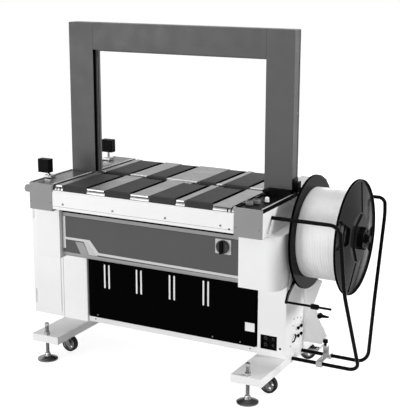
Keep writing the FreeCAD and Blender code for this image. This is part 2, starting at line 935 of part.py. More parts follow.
def right_deck():
    """The front plate is a shallow tray for the controls and the rear one is flat."""
    tray = deck_slab(deck_floor_height)
    tray = tray.fuse(block(deck_inner_x, deck_inner_x + deck_floor_height, cap_depth, arch_front_y,
                           rail_top_z, deck_top_z))
    outer = table_half_width - deck_lip_width
    tray = tray.fuse(block(outer - rim_width, outer, cap_depth, arch_front_y, rail_top_z,
                           deck_top_z + rim_height))
    bore_depth = deck_floor_height + 2 * overrun
    for x, y in button_places:
        tray = tray.cut(rod(Vector(x, y, rail_top_z - overrun), UP, bezel_inner_radius, bore_depth))
    place = Vector(stop_place[0], stop_place[1], rail_top_z - overrun)
    tray = tray.cut(rod(place, UP, stop_stem_radius + rest_gap, bore_depth))
    return [tray, behind(deck_slab(deck_height).fuse(rim()))]


def control_fittings():
    """Bezels round the two buttons, the lamp, the stop button's neck and the hood by the arch."""
    pieces = []
    for x, y in button_places:
        profile = [(bezel_inner_radius, 0), (bezel_radius, 0), (bezel_radius, bezel_height - bezel_edge),
                   (bezel_radius - bezel_edge, bezel_height), (bezel_inner_radius, bezel_height)]
        pieces.append(turned(profile, Vector(x, y, control_floor_z), UP))
    lamp = [(0, 0), (lamp_foot_radius, 0), (lamp_foot_radius, lamp_foot_height),
            (lamp_radius, lamp_foot_height),
            (lamp_radius, lamp_height - lamp_edge), (lamp_radius - lamp_edge, lamp_height), (0, lamp_height)]
    pieces.append(turned(lamp, Vector(lamp_place[0], lamp_place[1], control_floor_z), UP))
    bore = stop_stem_radius + rest_gap
    neck = [(bore, 0), (stop_foot_radius, 0), (stop_neck_radius, stop_foot_height),
            (stop_neck_radius, stop_neck_height),
            (bore, stop_neck_height)]
    pieces.append(turned(neck, Vector(stop_place[0], stop_place[1], control_floor_z), UP))
    x1 = table_half_width - deck_lip_width - rim_width
    back = arch_front_y
    top = control_floor_z + hood_height
    outline = [(back, control_floor_z), (back - hood_depth, control_floor_z),
               (back - hood_depth + hood_slope, top),
               (back, top)]
    pieces.append(prism([Vector(x1 - hood_width, y, z) for y, z in outline], RIGHT * hood_width))
    return pieces


def push_button(x, y):
    base = control_floor_z + bezel_height - button_height
    edge = button_dish
    profile = [(0, 0), (button_radius, 0), (button_radius, button_height),
               (button_radius - edge, button_height),
               (button_radius / 2, button_height - button_dish), (0, button_height - button_dish)]
    return turned(profile, Vector(x, y, base + button_travel / 2), UP)


def emergency_stop():
    x, y = stop_place
    top = stop_neck_height + stop_travel
    edge = stop_head_edge
    profile = [(0, -deck_height), (stop_stem_radius, -deck_height), (stop_stem_radius, top),
               (stop_head_radius - edge, top), (stop_head_radius, top + edge),
               (stop_head_radius, top + 2 * edge),
               (stop_head_radius - edge, top + stop_head_height), (0, top + stop_head_height)]
    return turned(profile, Vector(x, y, control_floor_z), UP)


# Table frame: side rails that carry the rollers, and bars under the bed plates
def rail(y0, y1, axes):
    x0, x1 = side_inner_x, side_inner_x + rail_thickness
    plate = block(x0, x1, y0, y1, cover_base_z, rail_top_z)
    for y in axes:
        start = Vector(x0 - overrun, y, roller_axis_z)
        plate = plate.cut(rod(start, RIGHT, roller_shaft_radius + running_gap, rail_thickness + 2 * overrun))
    return plate


def table_frame():
    front = rail(cap_depth, arch_front_y, roller_axes_y[:2])
    rear = rail(arch_rear_y, table_depth - cap_depth, roller_axes_y[2:])
    bars = []
    for share in bar_place_shares:
        y = table_depth * share
        bars.append(block(-side_inner_x, side_inner_x, y, y + bar_width, bar_top_z - bar_height, bar_top_z))
    return [front, mirrored(front), rear, mirrored(rear)] + bars


def roller(y, half_width):
    """Steel roller with two black ring grooves near each end, on a shaft through the rails."""
    shaft_half = side_inner_x + rail_thickness
    ring = roller_radius - roller_ring_depth
    half = [(roller_radius, 0)]
    for inset in roller_ring_insets:
        place = half_width - inset
        half += [(roller_radius, place), (ring, place), (ring, place + roller_ring_width),
                 (roller_radius, place + roller_ring_width)]
    half += [(roller_radius, half_width), (roller_shaft_radius, half_width),
             (roller_shaft_radius, shaft_half)]
    other = [(radius, -height) for radius, height in reversed(half)]
    profile = [(0, -shaft_half)] + other[:-1] + half[1:] + [(0, shaft_half)]
    return turned(profile, Vector(0, y, roller_axis_z), RIGHT)


def belt(x0, x1, front, rear):
    """A flat endless belt round two rollers."""
    def loop(radius, start, width):
        solid = block(start, start + width, front, rear, roller_axis_z - radius, roller_axis_z + radius)
        for y in (front, rear):
            solid = solid.fuse(rod(Vector(start, y, roller_axis_z), RIGHT, radius, width))
        return solid.removeSplitter()
    outer = loop(belt_radius, x0, x1 - x0)
    return outer.cut(loop(belt_radius - belt_thickness, x0 - overrun, x1 - x0 + 2 * overrun))


def belt_spans(shares):
    return [(side_inner_x * left, side_inner_x * right) for left, right in shares]


def belts():
    front = [belt(x0, x1, roller_axes_y[0], roller_axes_y[1]) for x0, x1 in belt_spans(front_belt_shares)]
    rear = [belt(x0, x1, roller_axes_y[2], roller_axes_y[3]) for x0, x1 in belt_spans(rear_belt_shares)]
    return front + rear


def bed_plate(x0, x1, y0, y1):
    """A bed plate with its front and rear edges folded down."""
    outside = [(y0, plate_top_z - plate_nose), (y0, plate_top_z), (y1, plate_top_z),
               (y1, plate_top_z - plate_nose)]
    inside = [(y1 - plate_thickness, plate_top_z - plate_nose), (y1 - plate_thickness, plate_base_z),
              (y0 + plate_thickness, plate_base_z), (y0 + plate_thickness, plate_top_z - plate_nose)]
    plate = prism([Vector(x0, y, z) for y, z in outside + inside], RIGHT * (x1 - x0))
    return soften(plate, RIGHT, plate_thickness * plate_round_share,
                  lambda middle: middle.z > plate_top_z - overrun / 2)


def plate_row(shares, y0, y1):
    """Bed plates that fill the room between the belts and out to both sides."""
    spans = belt_spans(shares)
    end = side_inner_x - plate_end_gap
    lefts = [-end] + [right + belt_side_gap for left, right in spans]
    rights = [left - belt_side_gap for left, right in spans] + [end]
    return [bed_plate(x0, x1, y0, y1) for x0, x1 in zip(lefts, rights)]


def bed_plates():
    middle = middle_y - bed_front_gap + plate_front_inset
    front = plate_row(front_belt_shares, bed_front_y + plate_front_inset, middle)
    rear = plate_row(rear_belt_shares, middle + plate_middle_gap,
                     table_depth - bed_rear_inset - plate_rear_inset)
    return front + rear


# Belt motor, hung between the ties, and strapping head
def belt_motor():
    centre = Vector(motor_inset - side_inner_x, middle_y, cover_base_z - motor_drop)
    motor = rod(centre, RIGHT, motor_radius, motor_length)
    step = motor_length / fin_count
    for index in range(fin_count):
        start = centre + RIGHT * (index * step + step / 2 - fin_width / 2)
        motor = motor.fuse(rod(start, RIGHT, motor_radius + fin_height, fin_width))
    x0 = centre.x + motor_length
    gearbox = block(x0, x0 + gearbox_width, middle_y - tie_gap / 2, middle_y + tie_gap / 2,
                    centre.z - gearbox_height / 2, centre.z + gearbox_height / 2)
    gearbox = soften(gearbox, RIGHT, fin_height)
    return motor.fuse(gearbox).removeSplitter()


def strapping_head():
    y0 = middle_y - tie_gap / 2
    y1 = middle_y + tie_gap / 2
    top = table_top_z - head_top_drop
    head = block(-head_half_width, head_half_width, y0, y1, top - head_height, top)
    nose = block(-anvil_half_width, anvil_half_width, middle_y - nose_width / 2, middle_y + nose_width / 2,
                 top, plate_top_z - nose_top_drop)
    plate_base = top - head_height
    arm = block(head_half_width, head_half_width + arm_plate_length, y0, y0 + arm_plate_thickness,
                plate_base, plate_base + arm_plate_height)
    arm = soften(arm, BACK, arm_plate_round, lambda middle: middle.x > head_half_width + overrun)
    bore = rod(Vector(feed_roller_x, y0 - overrun, plate_base + arm_plate_height / 2), BACK,
               feed_shaft_radius + running_gap, arm_plate_thickness + 2 * overrun)
    return head.fuse(nose).fuse(arm.cut(bore)).removeSplitter()


def feed_roller():
    y0 = middle_y - tie_gap / 2
    z = table_top_z - head_top_drop - head_height + arm_plate_height / 2
    start = arm_plate_thickness + rest_gap
    groove_start = start + (feed_roller_width - feed_groove_width) / 2
    groove = feed_roller_radius - feed_groove_depth
    profile = [(0, 0), (feed_shaft_radius, 0), (feed_shaft_radius, start), (feed_roller_radius, start),
               (feed_roller_radius, groove_start), (groove, groove_start),
               (groove, groove_start + feed_groove_width),
               (feed_roller_radius, groove_start + feed_groove_width),
               (feed_roller_radius, start + feed_roller_width),
               (0, start + feed_roller_width)]
    return turned(profile, Vector(feed_roller_x, y0, z), BACK)


# Doors: pressed sheet pans with a rounded lower front edge, hinged low down on two pins
def door_pan(half_width, inset):
    front = door_front_y + inset
    rear = door_front_y + door_depth
    pan = block(-half_width + inset, half_width - inset, front, rear + (overrun if inset else 0),
                door_base_z + inset, door_top_z - inset)
    lower = door_base_z + door_round
    return soften(pan, RIGHT, door_round - inset,
                  lambda middle: middle.z < lower and middle.y < rear - overrun)


def door():
    pan = door_pan(door_half_width, 0).cut(door_pan(door_half_width, door_skin))
    for x0 in (-side_inner_x - housing_wall, door_half_width - door_skin):
        length = side_inner_x + housing_wall - door_half_width + door_skin
        pan = pan.fuse(rod(Vector(x0, hinge_y, hinge_z), RIGHT, hinge_pin_radius, length))
    return pan


def switch_bore():
    start = Vector(switch_x, door_front_y - switch_plate_thickness - overrun, switch_z)
    return rod(start, BACK, switch_shaft_radius + running_gap,
               switch_plate_thickness + door_skin + 2 * overrun)


def front_door():
    return door().cut(switch_bore())


def door_trim():
    """The light edge strips, the swept stripe and the main switch's square plate."""
    front = door_front_y - trim_thickness
    top = block(-door_half_width, door_half_width, front, door_front_y, door_top_z - trim_edge, door_top_z)
    left = block(-door_half_width, -door_half_width + trim_edge, front, door_front_y,
                 door_top_z - stripe_low_drop, door_top_z - trim_edge)
    upper = [(trim_edge - door_half_width, stripe_left_drop),
             (stripe_knee_run - door_half_width, stripe_left_drop),
             (stripe_foot_run - door_half_width, stripe_low_drop), (door_half_width, stripe_right_drop)]
    lower = [(x - (stripe_width if index else 0), drop + stripe_width) for index,
             (x, drop) in enumerate(upper[:3])]
    lower.append((door_half_width, stripe_right_drop + stripe_width))
    outline = [Vector(x, front, door_top_z - drop) for x, drop in upper + lower[::-1]]
    stripe = prism(outline, BACK * trim_thickness)
    plate = block(switch_x - switch_plate_width / 2, switch_x + switch_plate_width / 2,
                  door_front_y - switch_plate_thickness, door_front_y,
                  switch_z - switch_plate_height / 2, switch_z + switch_plate_height / 2)
    plate = soften(plate, BACK, switch_plate_thickness)
    return [top.fuse(left).fuse(stripe).removeSplitter(), plate.cut(switch_bore())]


def switch_knob():
    """A round dial with an upright bar handle, on a shaft through the plate and the door."""
    back = door_front_y - switch_plate_thickness
    edge = switch_plate_thickness
    profile = [(0, -door_skin - switch_plate_thickness),
               (switch_shaft_radius, -door_skin - switch_plate_thickness),
               (switch_shaft_radius, 0), (switch_radius, 0), (switch_radius, switch_dial_height - edge),
               (switch_radius - edge, switch_dial_height), (0, switch_dial_height)]
    dial = turned(profile, Vector(switch_x, back, switch_z), -BACK)
    y1 = back - switch_dial_height
    bar = block(switch_x - switch_bar_width / 2, switch_x + switch_bar_width / 2, y1 - switch_bar_height,
                y1, switch_z - switch_bar_length / 2, switch_z + switch_bar_length / 2)
    bar = soften(bar, BACK, switch_bar_width * switch_round_share)
    return dial.fuse(bar)


# Electrical cabinet on the left column, with its hinged lid
def lid_span():
    """Left, right, bottom and top of the lid."""
    x0 = -cabinet_outer_x + cabinet_frame
    x1 = -column_outer_x - cabinet_frame + lid_overlap
    return x0, x1, cabinet_base_z + cabinet_frame, cabinet_top_z - cabinet_frame


def electrical_box():
    x0, x1 = -cabinet_outer_x, -column_outer_x
    box = block(x0, x1, column_front_y, column_rear_y, cabinet_base_z, cabinet_top_z)
    box = soften(box, UP, column_corner_radius, lambda middle: middle.x < x0 + overrun)
    hollow = block(x0 + cabinet_wall, x1 - cabinet_wall, column_front_y + cabinet_wall,
                   column_rear_y - cabinet_wall,
                   cabinet_base_z + cabinet_wall, cabinet_top_z - cabinet_wall)
    lx0, lx1, lz0, lz1 = lid_span()
    mouth = block(lx0 + lid_overlap, lx1 - lid_overlap, column_front_y - overrun,
                  column_front_y + cabinet_wall + overrun,
                  lz0 + lid_overlap, lz1 - lid_overlap)
    box = box.cut(hollow).cut(mouth)
    pin_x, pin_y = hinge_line()
    for base in knuckle_base_heights:
        z0 = cabinet_base_z + base
        third = knuckle_height / knuckle_part_count
        for start in (z0, z0 + 2 * third):
            knuckle = rod(Vector(pin_x, pin_y, start), UP, knuckle_radius, third)
            leaf = block(pin_x - knuckle_radius / 2, pin_x + knuckle_radius / 2, pin_y, column_front_y,
                         start, start + third)
            box = box.fuse(knuckle).fuse(leaf)
        box = box.fuse(rod(Vector(pin_x, pin_y, z0), UP, knuckle_pin_radius, knuckle_height))
    board_y = column_rear_y - cabinet_wall
    bx0, bx1 = x0 + board_margin, x1 - board_margin
    bz0, bz1 = cabinet_base_z + board_margin, cabinet_top_z - board_margin
    box = box.fuse(block(bx0, bx1, board_y - board_thickness, board_y, bz0, bz1))
    for left, right, low, high in board_part_shares:
        part = block(bx0 + (bx1 - bx0) * left, bx0 + (bx1 - bx0) * right,
                     board_y - board_thickness - board_part_depth,
                     board_y - board_thickness, bz0 + (bz1 - bz0) * low, bz0 + (bz1 - bz0) * high)
        box = box.fuse(part)
    return box.removeSplitter()


def hinge_line():
    """X and Y of the lid's hinge pins."""
    return lid_span()[0] - knuckle_radius - knuckle_gap, column_front_y - knuckle_radius - knuckle_gap


def electrical_box_door():
    x0, x1, z0, z1 = lid_span()
    lid = block(x0, x1, column_front_y - lid_thickness, column_front_y, z0, z1)
    lid = soften(lid, BACK, column_corner_radius)
    pin_x, pin_y = hinge_line()
    third = knuckle_height / knuckle_part_count
    for base in knuckle_base_heights:
        start = cabinet_base_z + base + third + rest_gap
        height = third - 2 * rest_gap
        knuckle = rod(Vector(pin_x, pin_y, start), UP, knuckle_radius, height)
        web = block(pin_x, x0 + overrun, pin_y, pin_y + knuckle_radius / 2, start, start + height)
        knuckle = knuckle.fuse(web).cut(rod(Vector(pin_x, pin_y, start - overrun), UP,
                                            knuckle_pin_radius + running_gap,
                                            height + 2 * overrun))
        lid = lid.fuse(knuckle)
    return lid.removeSplitter()


# Arch: a square tube frame with a strap track round its inner side
def arch_frame():
    outer = block(-arch_outer_x, arch_outer_x, arch_front_y, arch_rear_y, cover_base_z, arch_top_z)
    outer = soften(outer, BACK, arch_corner_radius, lambda middle: middle.z > arch_top_z - overrun)
    opening = block(-arch_inner_x, arch_inner_x, arch_front_y - overrun, arch_rear_y + overrun,
                    cover_base_z - overrun, arch_opening_z)
    wall = arch_wall
    leg = block(arch_inner_x + wall, arch_outer_x - wall, arch_front_y + wall, arch_rear_y - wall,
                cover_base_z - overrun, arch_top_z - wall)
    head = block(-arch_outer_x + wall, arch_outer_x - wall, arch_front_y + wall, arch_rear_y - wall,
                 arch_opening_z + wall, arch_top_z - wall)
    return outer.cut(opening).cut(leg.fuse(mirrored(leg)).fuse(head))


def arch_track():
    """On each inner side a base strip with a lip along either edge, which hold the strap."""
    pieces = []
    y0 = middle_y - track_width / 2
    y1 = middle_y + track_width / 2
    inner = arch_inner_x - track_height
    base = arch_inner_x - track_base_height
    for lip_y0, lip_y1 in ((y0, y0 + track_lip), (y1 - track_lip, y1)):
        side = block(inner, arch_inner_x, lip_y0, lip_y1, table_top_z, arch_opening_z)
        pieces += [side, mirrored(side)]
        pieces.append(block(-inner, inner, lip_y0, lip_y1, arch_opening_z - track_height, arch_opening_z))
    floor = block(base, arch_inner_x, y0 + track_lip, y1 - track_lip, table_top_z, arch_opening_z)
    pieces += [floor, mirrored(floor)]
    pieces.append(block(-base, base, y0 + track_lip, y1 - track_lip, arch_opening_z - track_base_height,
                        arch_opening_z))
    return pieces


def arch_bracket():
    """Angle plate on the arch's right leg, with a clamping block."""
    z0 = deck_top_z + rim_height
    y0 = middle_y - bracket_width / 2
    plate = block(arch_outer_x, arch_outer_x + bracket_plate, y0, y0 + bracket_width, cover_base_z,
                  z0 + bracket_height)
    plate = soften(plate, RIGHT, bracket_plate, lambda middle: middle.z > z0)
    x0 = arch_outer_x + bracket_plate
    lump = block(x0, x0 + bracket_block_width, y0 + bracket_block_margin,
                 y0 + bracket_width - bracket_block_margin,
                 z0 + bracket_block_margin, z0 + bracket_block_margin + bracket_block_height)
    lump = soften(lump, RIGHT, bracket_block_margin)
    return plate.fuse(lump)


def photo_eye(foot_x, x, y, rise):
    """A black box on a neck that leans out from its foot plate."""
    foot_z = deck_top_z + rim_height
    base_z = deck_top_z + rise
    plate = block(foot_x - eye_foot_width / 2, foot_x + eye_foot_width / 2, y - eye_foot_depth / 2,
                  y + eye_foot_depth / 2, foot_z, foot_z + eye_foot_height)
    plate = soften(plate, UP, eye_corner)
    start = Vector(foot_x, y, foot_z + eye_neck_radius)
    run = Vector(x, y, base_z + eye_corner) - start
    neck = rod(start, run, eye_neck_radius, run.Length)
    head = block(x - eye_width / 2, x + eye_width / 2, y - eye_depth / 2, y + eye_depth / 2, base_z,
                 base_z + eye_height)
    return plate.fuse(neck).fuse(soften(head, UP, eye_corner))


def photo_eyes():
    """Front left, standing out over the edge, and rear left."""
    foot_x = eye_foot_width / 2 - table_half_width
    front = photo_eye(foot_x, -table_half_width - front_eye_outset, front_eye_y, front_eye_rise)
    rear_x = rear_eye_inset - table_half_width
    return [front, photo_eye(rear_x, rear_x, table_depth - rear_eye_from_end, rear_eye_rise)]


# Reel of strap
def reel_core():
    """Axle, hub of the reel between the flanges, and the raised plate on the outer flange."""
    start = housing_outer_x - housing_wall
    hub_start = inner_flange_x + flange_thickness
    hub_end = outer_flange_x + flange_dish
    profile = [(0, start), (axle_radius, start), (axle_radius, hub_start), (coil_core_radius, hub_start),
               (coil_core_radius, hub_end), (axle_radius, hub_end), (axle_radius, axle_end_x),
               (0, axle_end_x)]
    core = turned(profile, axle_point(0), RIGHT)
    h, w, s = hub_plate_half_height, hub_plate_half_width, hub_plate_shoulder
    outline = [(0, h), (w, s), (w, -s), (0, -h), (-w, -s), (-w, s)]
    raised = prism([from_axle(hub_plate_x, run) for run in outline], RIGHT * hub_plate_thickness)
    raised = soften(raised, RIGHT, hub_plate_thickness)
    raised.rotate(axle_point(0), RIGHT, -flange_turn)
    return core.fuse(raised)


def reel_inner_flange():
    """A disc whose rim turns away from the coil, bored for the axle."""
    bore = axle_radius + strap_seat
    inner = flange_radius - flange_rim_width
    profile = [(bore, flange_thickness), (flange_radius, flange_thickness),
               (flange_radius, flange_thickness - flange_rim),
               (inner, flange_thickness - flange_rim), (inner, 0), (bore, 0)]
    return turned(profile, axle_point(inner_flange_x), RIGHT)


def reel_outer_flange():
    """A disc dished outwards round the hub, with a slot above and below it and an opening at either side."""
    bore = axle_radius + strap_seat
    inner = flange_radius - flange_rim_width
    raised = flange_dish + flange_thickness
    profile = [(bore, flange_dish), (slot_inner_radius, flange_dish), (slot_outer_radius, 0),
               (flange_radius, 0),
               (flange_radius, flange_rim), (inner, flange_rim), (inner, flange_thickness),
               (slot_outer_radius, flange_thickness), (slot_inner_radius, raised), (bore, raised)]
    disc = turned(profile, axle_point(outer_flange_x), RIGHT)
    x0 = outer_flange_x - overrun
    depth = raised + 2 * overrun
    for side in (-1, 1):
        z0, z1 = sorted((reel_axle_z + side * slot_inner_radius, reel_axle_z + side * slot_outer_radius))
        slot = block(x0, x0 + depth, middle_y - flange_slot_width / 2, middle_y + flange_slot_width / 2, z0,
                     z1)
        disc = disc.cut(slot)
        angle = math.radians(opening_half_angle)
        corners = [(opening_inner_radius, -1), (opening_outer_radius, -1), (opening_outer_radius, 1),
                   (opening_inner_radius, 1)]
        points = [from_axle(x0, (side * radius * math.cos(angle), turn * radius * math.sin(angle)))
                  for radius, turn in corners]
        disc = disc.cut(soften(prism(points, RIGHT * depth), RIGHT, flange_rim))
    disc.rotate(axle_point(0), RIGHT, -flange_turn)
    return disc


def strap_coil():
    """A plain core wound with one outer layer of strap."""
    x0 = inner_flange_x + flange_thickness
    width = outer_flange_x - x0
    pitch = width / (turn_count + 1)
    strap_radius = (pitch - strap_gap) / 2
    turn_radius = coil_radius - strap_radius
    inside = turn_radius - strap_radius - strap_seat
    profile = [(coil_core_radius, 0), (inside, 0), (inside, width), (coil_core_radius, width)]
    core = turned(profile, axle_point(x0), RIGHT)
    coil = winding(turn_radius, pitch, turn_count, strap_radius)
    coil.Placement = Placement(axle_point(x0 + pitch / 2), Rotation(UP, RIGHT))
    return [core, coil]


def star_nut():
    """A lobed hand nut with a ring of holes, screwed on the axle's end."""
    bore = axle_radius + running_gap
    body = rod(ORIGIN, UP, nut_radius - nut_lobe_radius / 2, nut_thickness)
    for index in range(lobe_count):
        angle = 2 * math.pi * index / lobe_count
        place = Vector(math.cos(angle), math.sin(angle), 0)
        body = body.fuse(rod(place * (nut_radius - nut_lobe_radius), UP, nut_lobe_radius, nut_thickness))
    for index in range(lobe_count):
        angle = math.pi * (2 * index + 1) / lobe_count
        place = Vector(math.cos(angle), math.sin(angle), 0)
        body = body.cut(rod(place * nut_hole_circle + UP * (nut_thickness / 2), UP, nut_hole_radius,
                            nut_thickness))
    body = body.fuse(rod(ORIGIN, UP, nut_boss_radius, nut_thickness + nut_boss_height))
    body = body.cut(rod(UP * -overrun, UP, bore, nut_thickness + nut_boss_height + 2 * overrun))
    body.Placement = Placement(axle_point(nut_x), Rotation(UP, RIGHT))
    return body


# Dancer arm, its spring and the outrigger plate with its release lever
def link(start, end, width, x0, thickness):
    """A flat bar with round ends between two runs from the reel's axle."""
    a = from_axle(x0, start)
    b = from_axle(x0, end)
    across = (b - a).cross(RIGHT).normalize() * (width / 2)
    bar = prism([a + across, b + across, b - across, a - across], RIGHT * thickness)
    for place in (a, b):
        bar = bar.fuse(rod(place, RIGHT, width / 2, thickness))
    return bar


def dancer_arm():
    x0 = arm_x - arm_thickness / 2
    arm = link(arm_pivot_run, arm_knee_run, arm_width, x0, arm_thickness)
    arm = arm.fuse(link(arm_knee_run, arm_foot_run, arm_width, x0, arm_thickness))
    boss_x = housing_outer_x + rest_gap
    boss = rod(from_axle(boss_x, arm_pivot_run), RIGHT, arm_boss_radius, x0 + arm_thickness - boss_x)
    pin_x = housing_outer_x - housing_wall
    pin = rod(from_axle(pin_x, arm_pivot_run), RIGHT, arm_pivot_radius, x0 - pin_x)
    bar = rod(from_axle(x0, arm_foot_run), RIGHT, dancer_rod_radius, dancer_rod_end_x - x0)
    collar = rod(from_axle(collar_x, arm_foot_run), RIGHT, collar_radius, collar_length)
    knee, run = spring_line()
    eye = rod(knee, run, eye_bolt_radius, eye_bolt_length)
    eye = eye.fuse(rod(knee + run * (eye_bolt_length - eye_bolt_head), run, spring_radius, eye_bolt_head))
    return arm.fuse(boss).fuse(pin).fuse(bar).fuse(collar).fuse(eye).removeSplitter()


def spring_line():
    """The arm's knee, and the direction from there to the pin that holds the spring."""
    knee = from_axle(arm_x, arm_knee_run)
    return knee, (from_axle(arm_x, spring_anchor_run) - knee).normalize()


def dancer_spring():
    """Tension spring between the pin on the housing and the arm's knee."""
    knee, run = spring_line()
    start = knee + run * (eye_bolt_length + spring_wire_radius + rest_gap)
    end = from_axle(arm_x, spring_anchor_run) - run * (spring_pin_radius + spring_wire_radius + rest_gap)
    pitch = (end - start).Length / curl_count
    spring = winding(spring_radius, pitch, curl_count, spring_wire_radius)
    spring.Placement = Placement(start, Rotation(UP, run))
    return spring


def guide_plate():
    """White outrigger plate beside the reel, standing out from the back of the column."""
    points = [Vector(column_outer_x + reach, guide_y, z) for z, reach in guide_outline]
    plate = prism(points, BACK * guide_thickness)
    start = Vector(column_outer_x + lever_place[0], guide_y - overrun, lever_place[1])
    return plate.cut(rod(start, BACK, lever_shaft_radius + running_gap, guide_thickness + 2 * overrun))


def release_lever():
    place = Vector(column_outer_x + lever_place[0], guide_y + guide_thickness, lever_place[1])
    shaft_length = guide_thickness + rest_gap
    hub_end = shaft_length + lever_hub_length
    profile = [(0, 0), (lever_shaft_radius, 0), (lever_shaft_radius, shaft_length),
               (lever_hub_radius, shaft_length),
               (lever_hub_end_radius, hub_end), (0, hub_end)]
    hub = turned(profile, place, -BACK)
    y = place.y - shaft_length - lever_hub_length / 2
    wide = lever_root_radius
    outline = [Vector(place.x, y, place.z + wide),
               Vector(place.x + lever_length, y, place.z + lever_tip_radius),
               Vector(place.x + lever_length, y, place.z - lever_tip_radius),
               Vector(place.x, y, place.z - wide)]
    handle = prism(outline, BACK * lever_thickness)
    return hub.fuse(handle).removeSplitter()


# Tube guard round the reel
def guard_point(run):
    """A place in the guard's leaning plane, which stands further out towards the floor."""
    fall = front_guard_top[1] - run[1]
    whole_fall = reel_axle_z + front_guard_top[1] - guard_low_z
    return from_axle(guard_top_x + guard_lean * fall / whole_fall, run)


def guard_tubes():
    low = guard_low_z - reel_axle_z
    tubes = []
    for top, bends, low_run, radii in (
            (front_guard_top, [front_guard_bend], front_guard_low_run, front_guard_radii),
            (rear_guard_top, [rear_guard_shoulder, rear_guard_bend], rear_guard_low_run, rear_guard_radii)):
        points = [from_axle(table_half_width, top)]
        points += [guard_point(run) for run in [top] + bends + [(low_run, low)]]
        points.append(from_axle(foot_outer_x, (low_run, low)))
        tubes.append(tube(bent_path(points, radii), guard_radius))
    return tubes


def guard_clamp():
    """A saddle on each lower tube, joined by a bar, with a post for the clamp screw."""
    outer = guard_radius + clamp_wall
    places = (middle_y + front_guard_low_run, middle_y + rear_guard_low_run)
    x0 = clamp_x - clamp_width / 2
    x1 = x0 + clamp_width
    base = guard_low_z + guard_radius + rest_gap
    top = base + clamp_post_height
    clamp = block(x0, x1, places[0], places[1], base, base + clamp_bar_thickness)
    for y in places:
        clamp = clamp.fuse(block(x0, x1, y - outer, y + outer, guard_low_z - outer, guard_low_z + outer))
    post_y = middle_y + clamp_post_run
    clamp = clamp.fuse(block(x0, x1, post_y - clamp_wall, post_y, base, top))
    clamp = clamp.fuse(block(x0, x1, post_y - clamp_width, post_y, top - clamp_bar_thickness, top))
    stud_place = Vector(clamp_x, post_y - clamp_width / 2, top - clamp_bar_thickness - overrun)
    clamp = clamp.cut(rod(stud_place, UP, clamp_stud_radius + running_gap, clamp_bar_thickness + 2 * overrun))
    for y in places:
        clamp = clamp.cut(rod(Vector(x0 - overrun, y, guard_low_z), RIGHT, guard_radius,
                              clamp_width + 2 * overrun))
    return clamp.removeSplitter()


def clamp_knob():
    base = guard_low_z + guard_radius + rest_gap + clamp_post_height
    post_y = middle_y + clamp_post_run
    edge = clamp_knob_edge
    profile = [(0, -clamp_bar_thickness), (clamp_stud_radius, -clamp_bar_thickness), (clamp_stud_radius, 0),
               (clamp_knob_neck_radius, 0), (clamp_knob_neck_radius, clamp_knob_neck_height),
               (clamp_knob_radius, clamp_knob_neck_height + edge),
               (clamp_knob_radius, clamp_knob_height - edge),
               (clamp_knob_radius - edge, clamp_knob_height), (0, clamp_knob_height)]
    return turned(profile, Vector(clamp_x, post_y - clamp_width / 2, base), UP)


# Write every sub-part
os.makedirs("parts", exist_ok=True)
save("left_leg", left_leg())
save("right_leg", right_leg(), sockets())
save("cross_frame", *cross_frame())
save("strap_pool", strap_pool())
save("left_housing", left_housing())
save("right_housing", right_housing())
save("corner_caps", *corner_caps())
save("side_covers", *side_covers())
save("aprons", apron(), behind(apron()))
save("left_deck", *left_deck())
save("right_deck", *right_deck())
save("control_fittings", *control_fittings())
save("emergency_stop", emergency_stop())
save("table_frame", *table_frame())
save("belts", *belts())
save("bed_plates", *bed_plates())
save("belt_motor", belt_motor())
save("strapping_head", strapping_head())
save("feed_roller", feed_roller())
save("front_door", front_door())
save("door_trim", *door_trim())
save("rear_door", behind(door()))
save("switch_knob", switch_knob())
save("electrical_box", electrical_box())
save("electrical_box_door", electrical_box_door())
save("arch_frame", arch_frame())
save("arch_track", *arch_track())
save("arch_bracket", arch_bracket())
save("photo_eyes", *photo_eyes())
save("reel_core", reel_core())
save("reel_inner_flange", reel_inner_flange())
save("reel_outer_flange", reel_outer_flange())
save("strap_coil", *strap_coil())
save("star_nut", star_nut())
save("dancer_arm", dancer_arm())
save("dancer_spring", dancer_spring())
save("guide_plate", guide_plate())
save("release_lever", release_lever())
save("guard_tubes", *guard_tubes())
save("guard_clamp", guard_clamp())
save("clamp_knob", clamp_knob())

roller_names = ("front_roller", "front_inner_roller", "rear_inner_roller", "rear_roller")
roller_halves = (roller_half_width, inner_roller_half_width, inner_roller_half_width, roller_half_width)
for name, y, half_width in zip(roller_names, roller_axes_y, roller_halves):
    save(name, roller(y, half_width))

for index, (x, y) in enumerate(button_places):
    save("push_button_" + str(index + 1), push_button(x, y))

for side, x in (("left", -leg_centre_x), ("right", leg_centre_x)):
    save("levelling_foot_front_" + side, levelling_foot(x, screw_from_end))
    save("levelling_foot_rear_" + side, levelling_foot(x, table_depth - screw_from_end))
    save("caster_fork_front_" + side, caster_fork(x, caster_from_end))
    save("caster_wheel_front_" + side, caster_wheel(x, caster_from_end))
    save("caster_fork_rear_" + side, caster_fork(x, table_depth - caster_from_end, side == "right"))
    save("caster_wheel_rear_" + side, caster_wheel(x, table_depth - caster_from_end))
save("caster_brake", caster_brake(leg_centre_x, table_depth - caster_from_end))
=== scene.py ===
import math

import bmesh
import bpy
from mathutils import Matrix, Vector


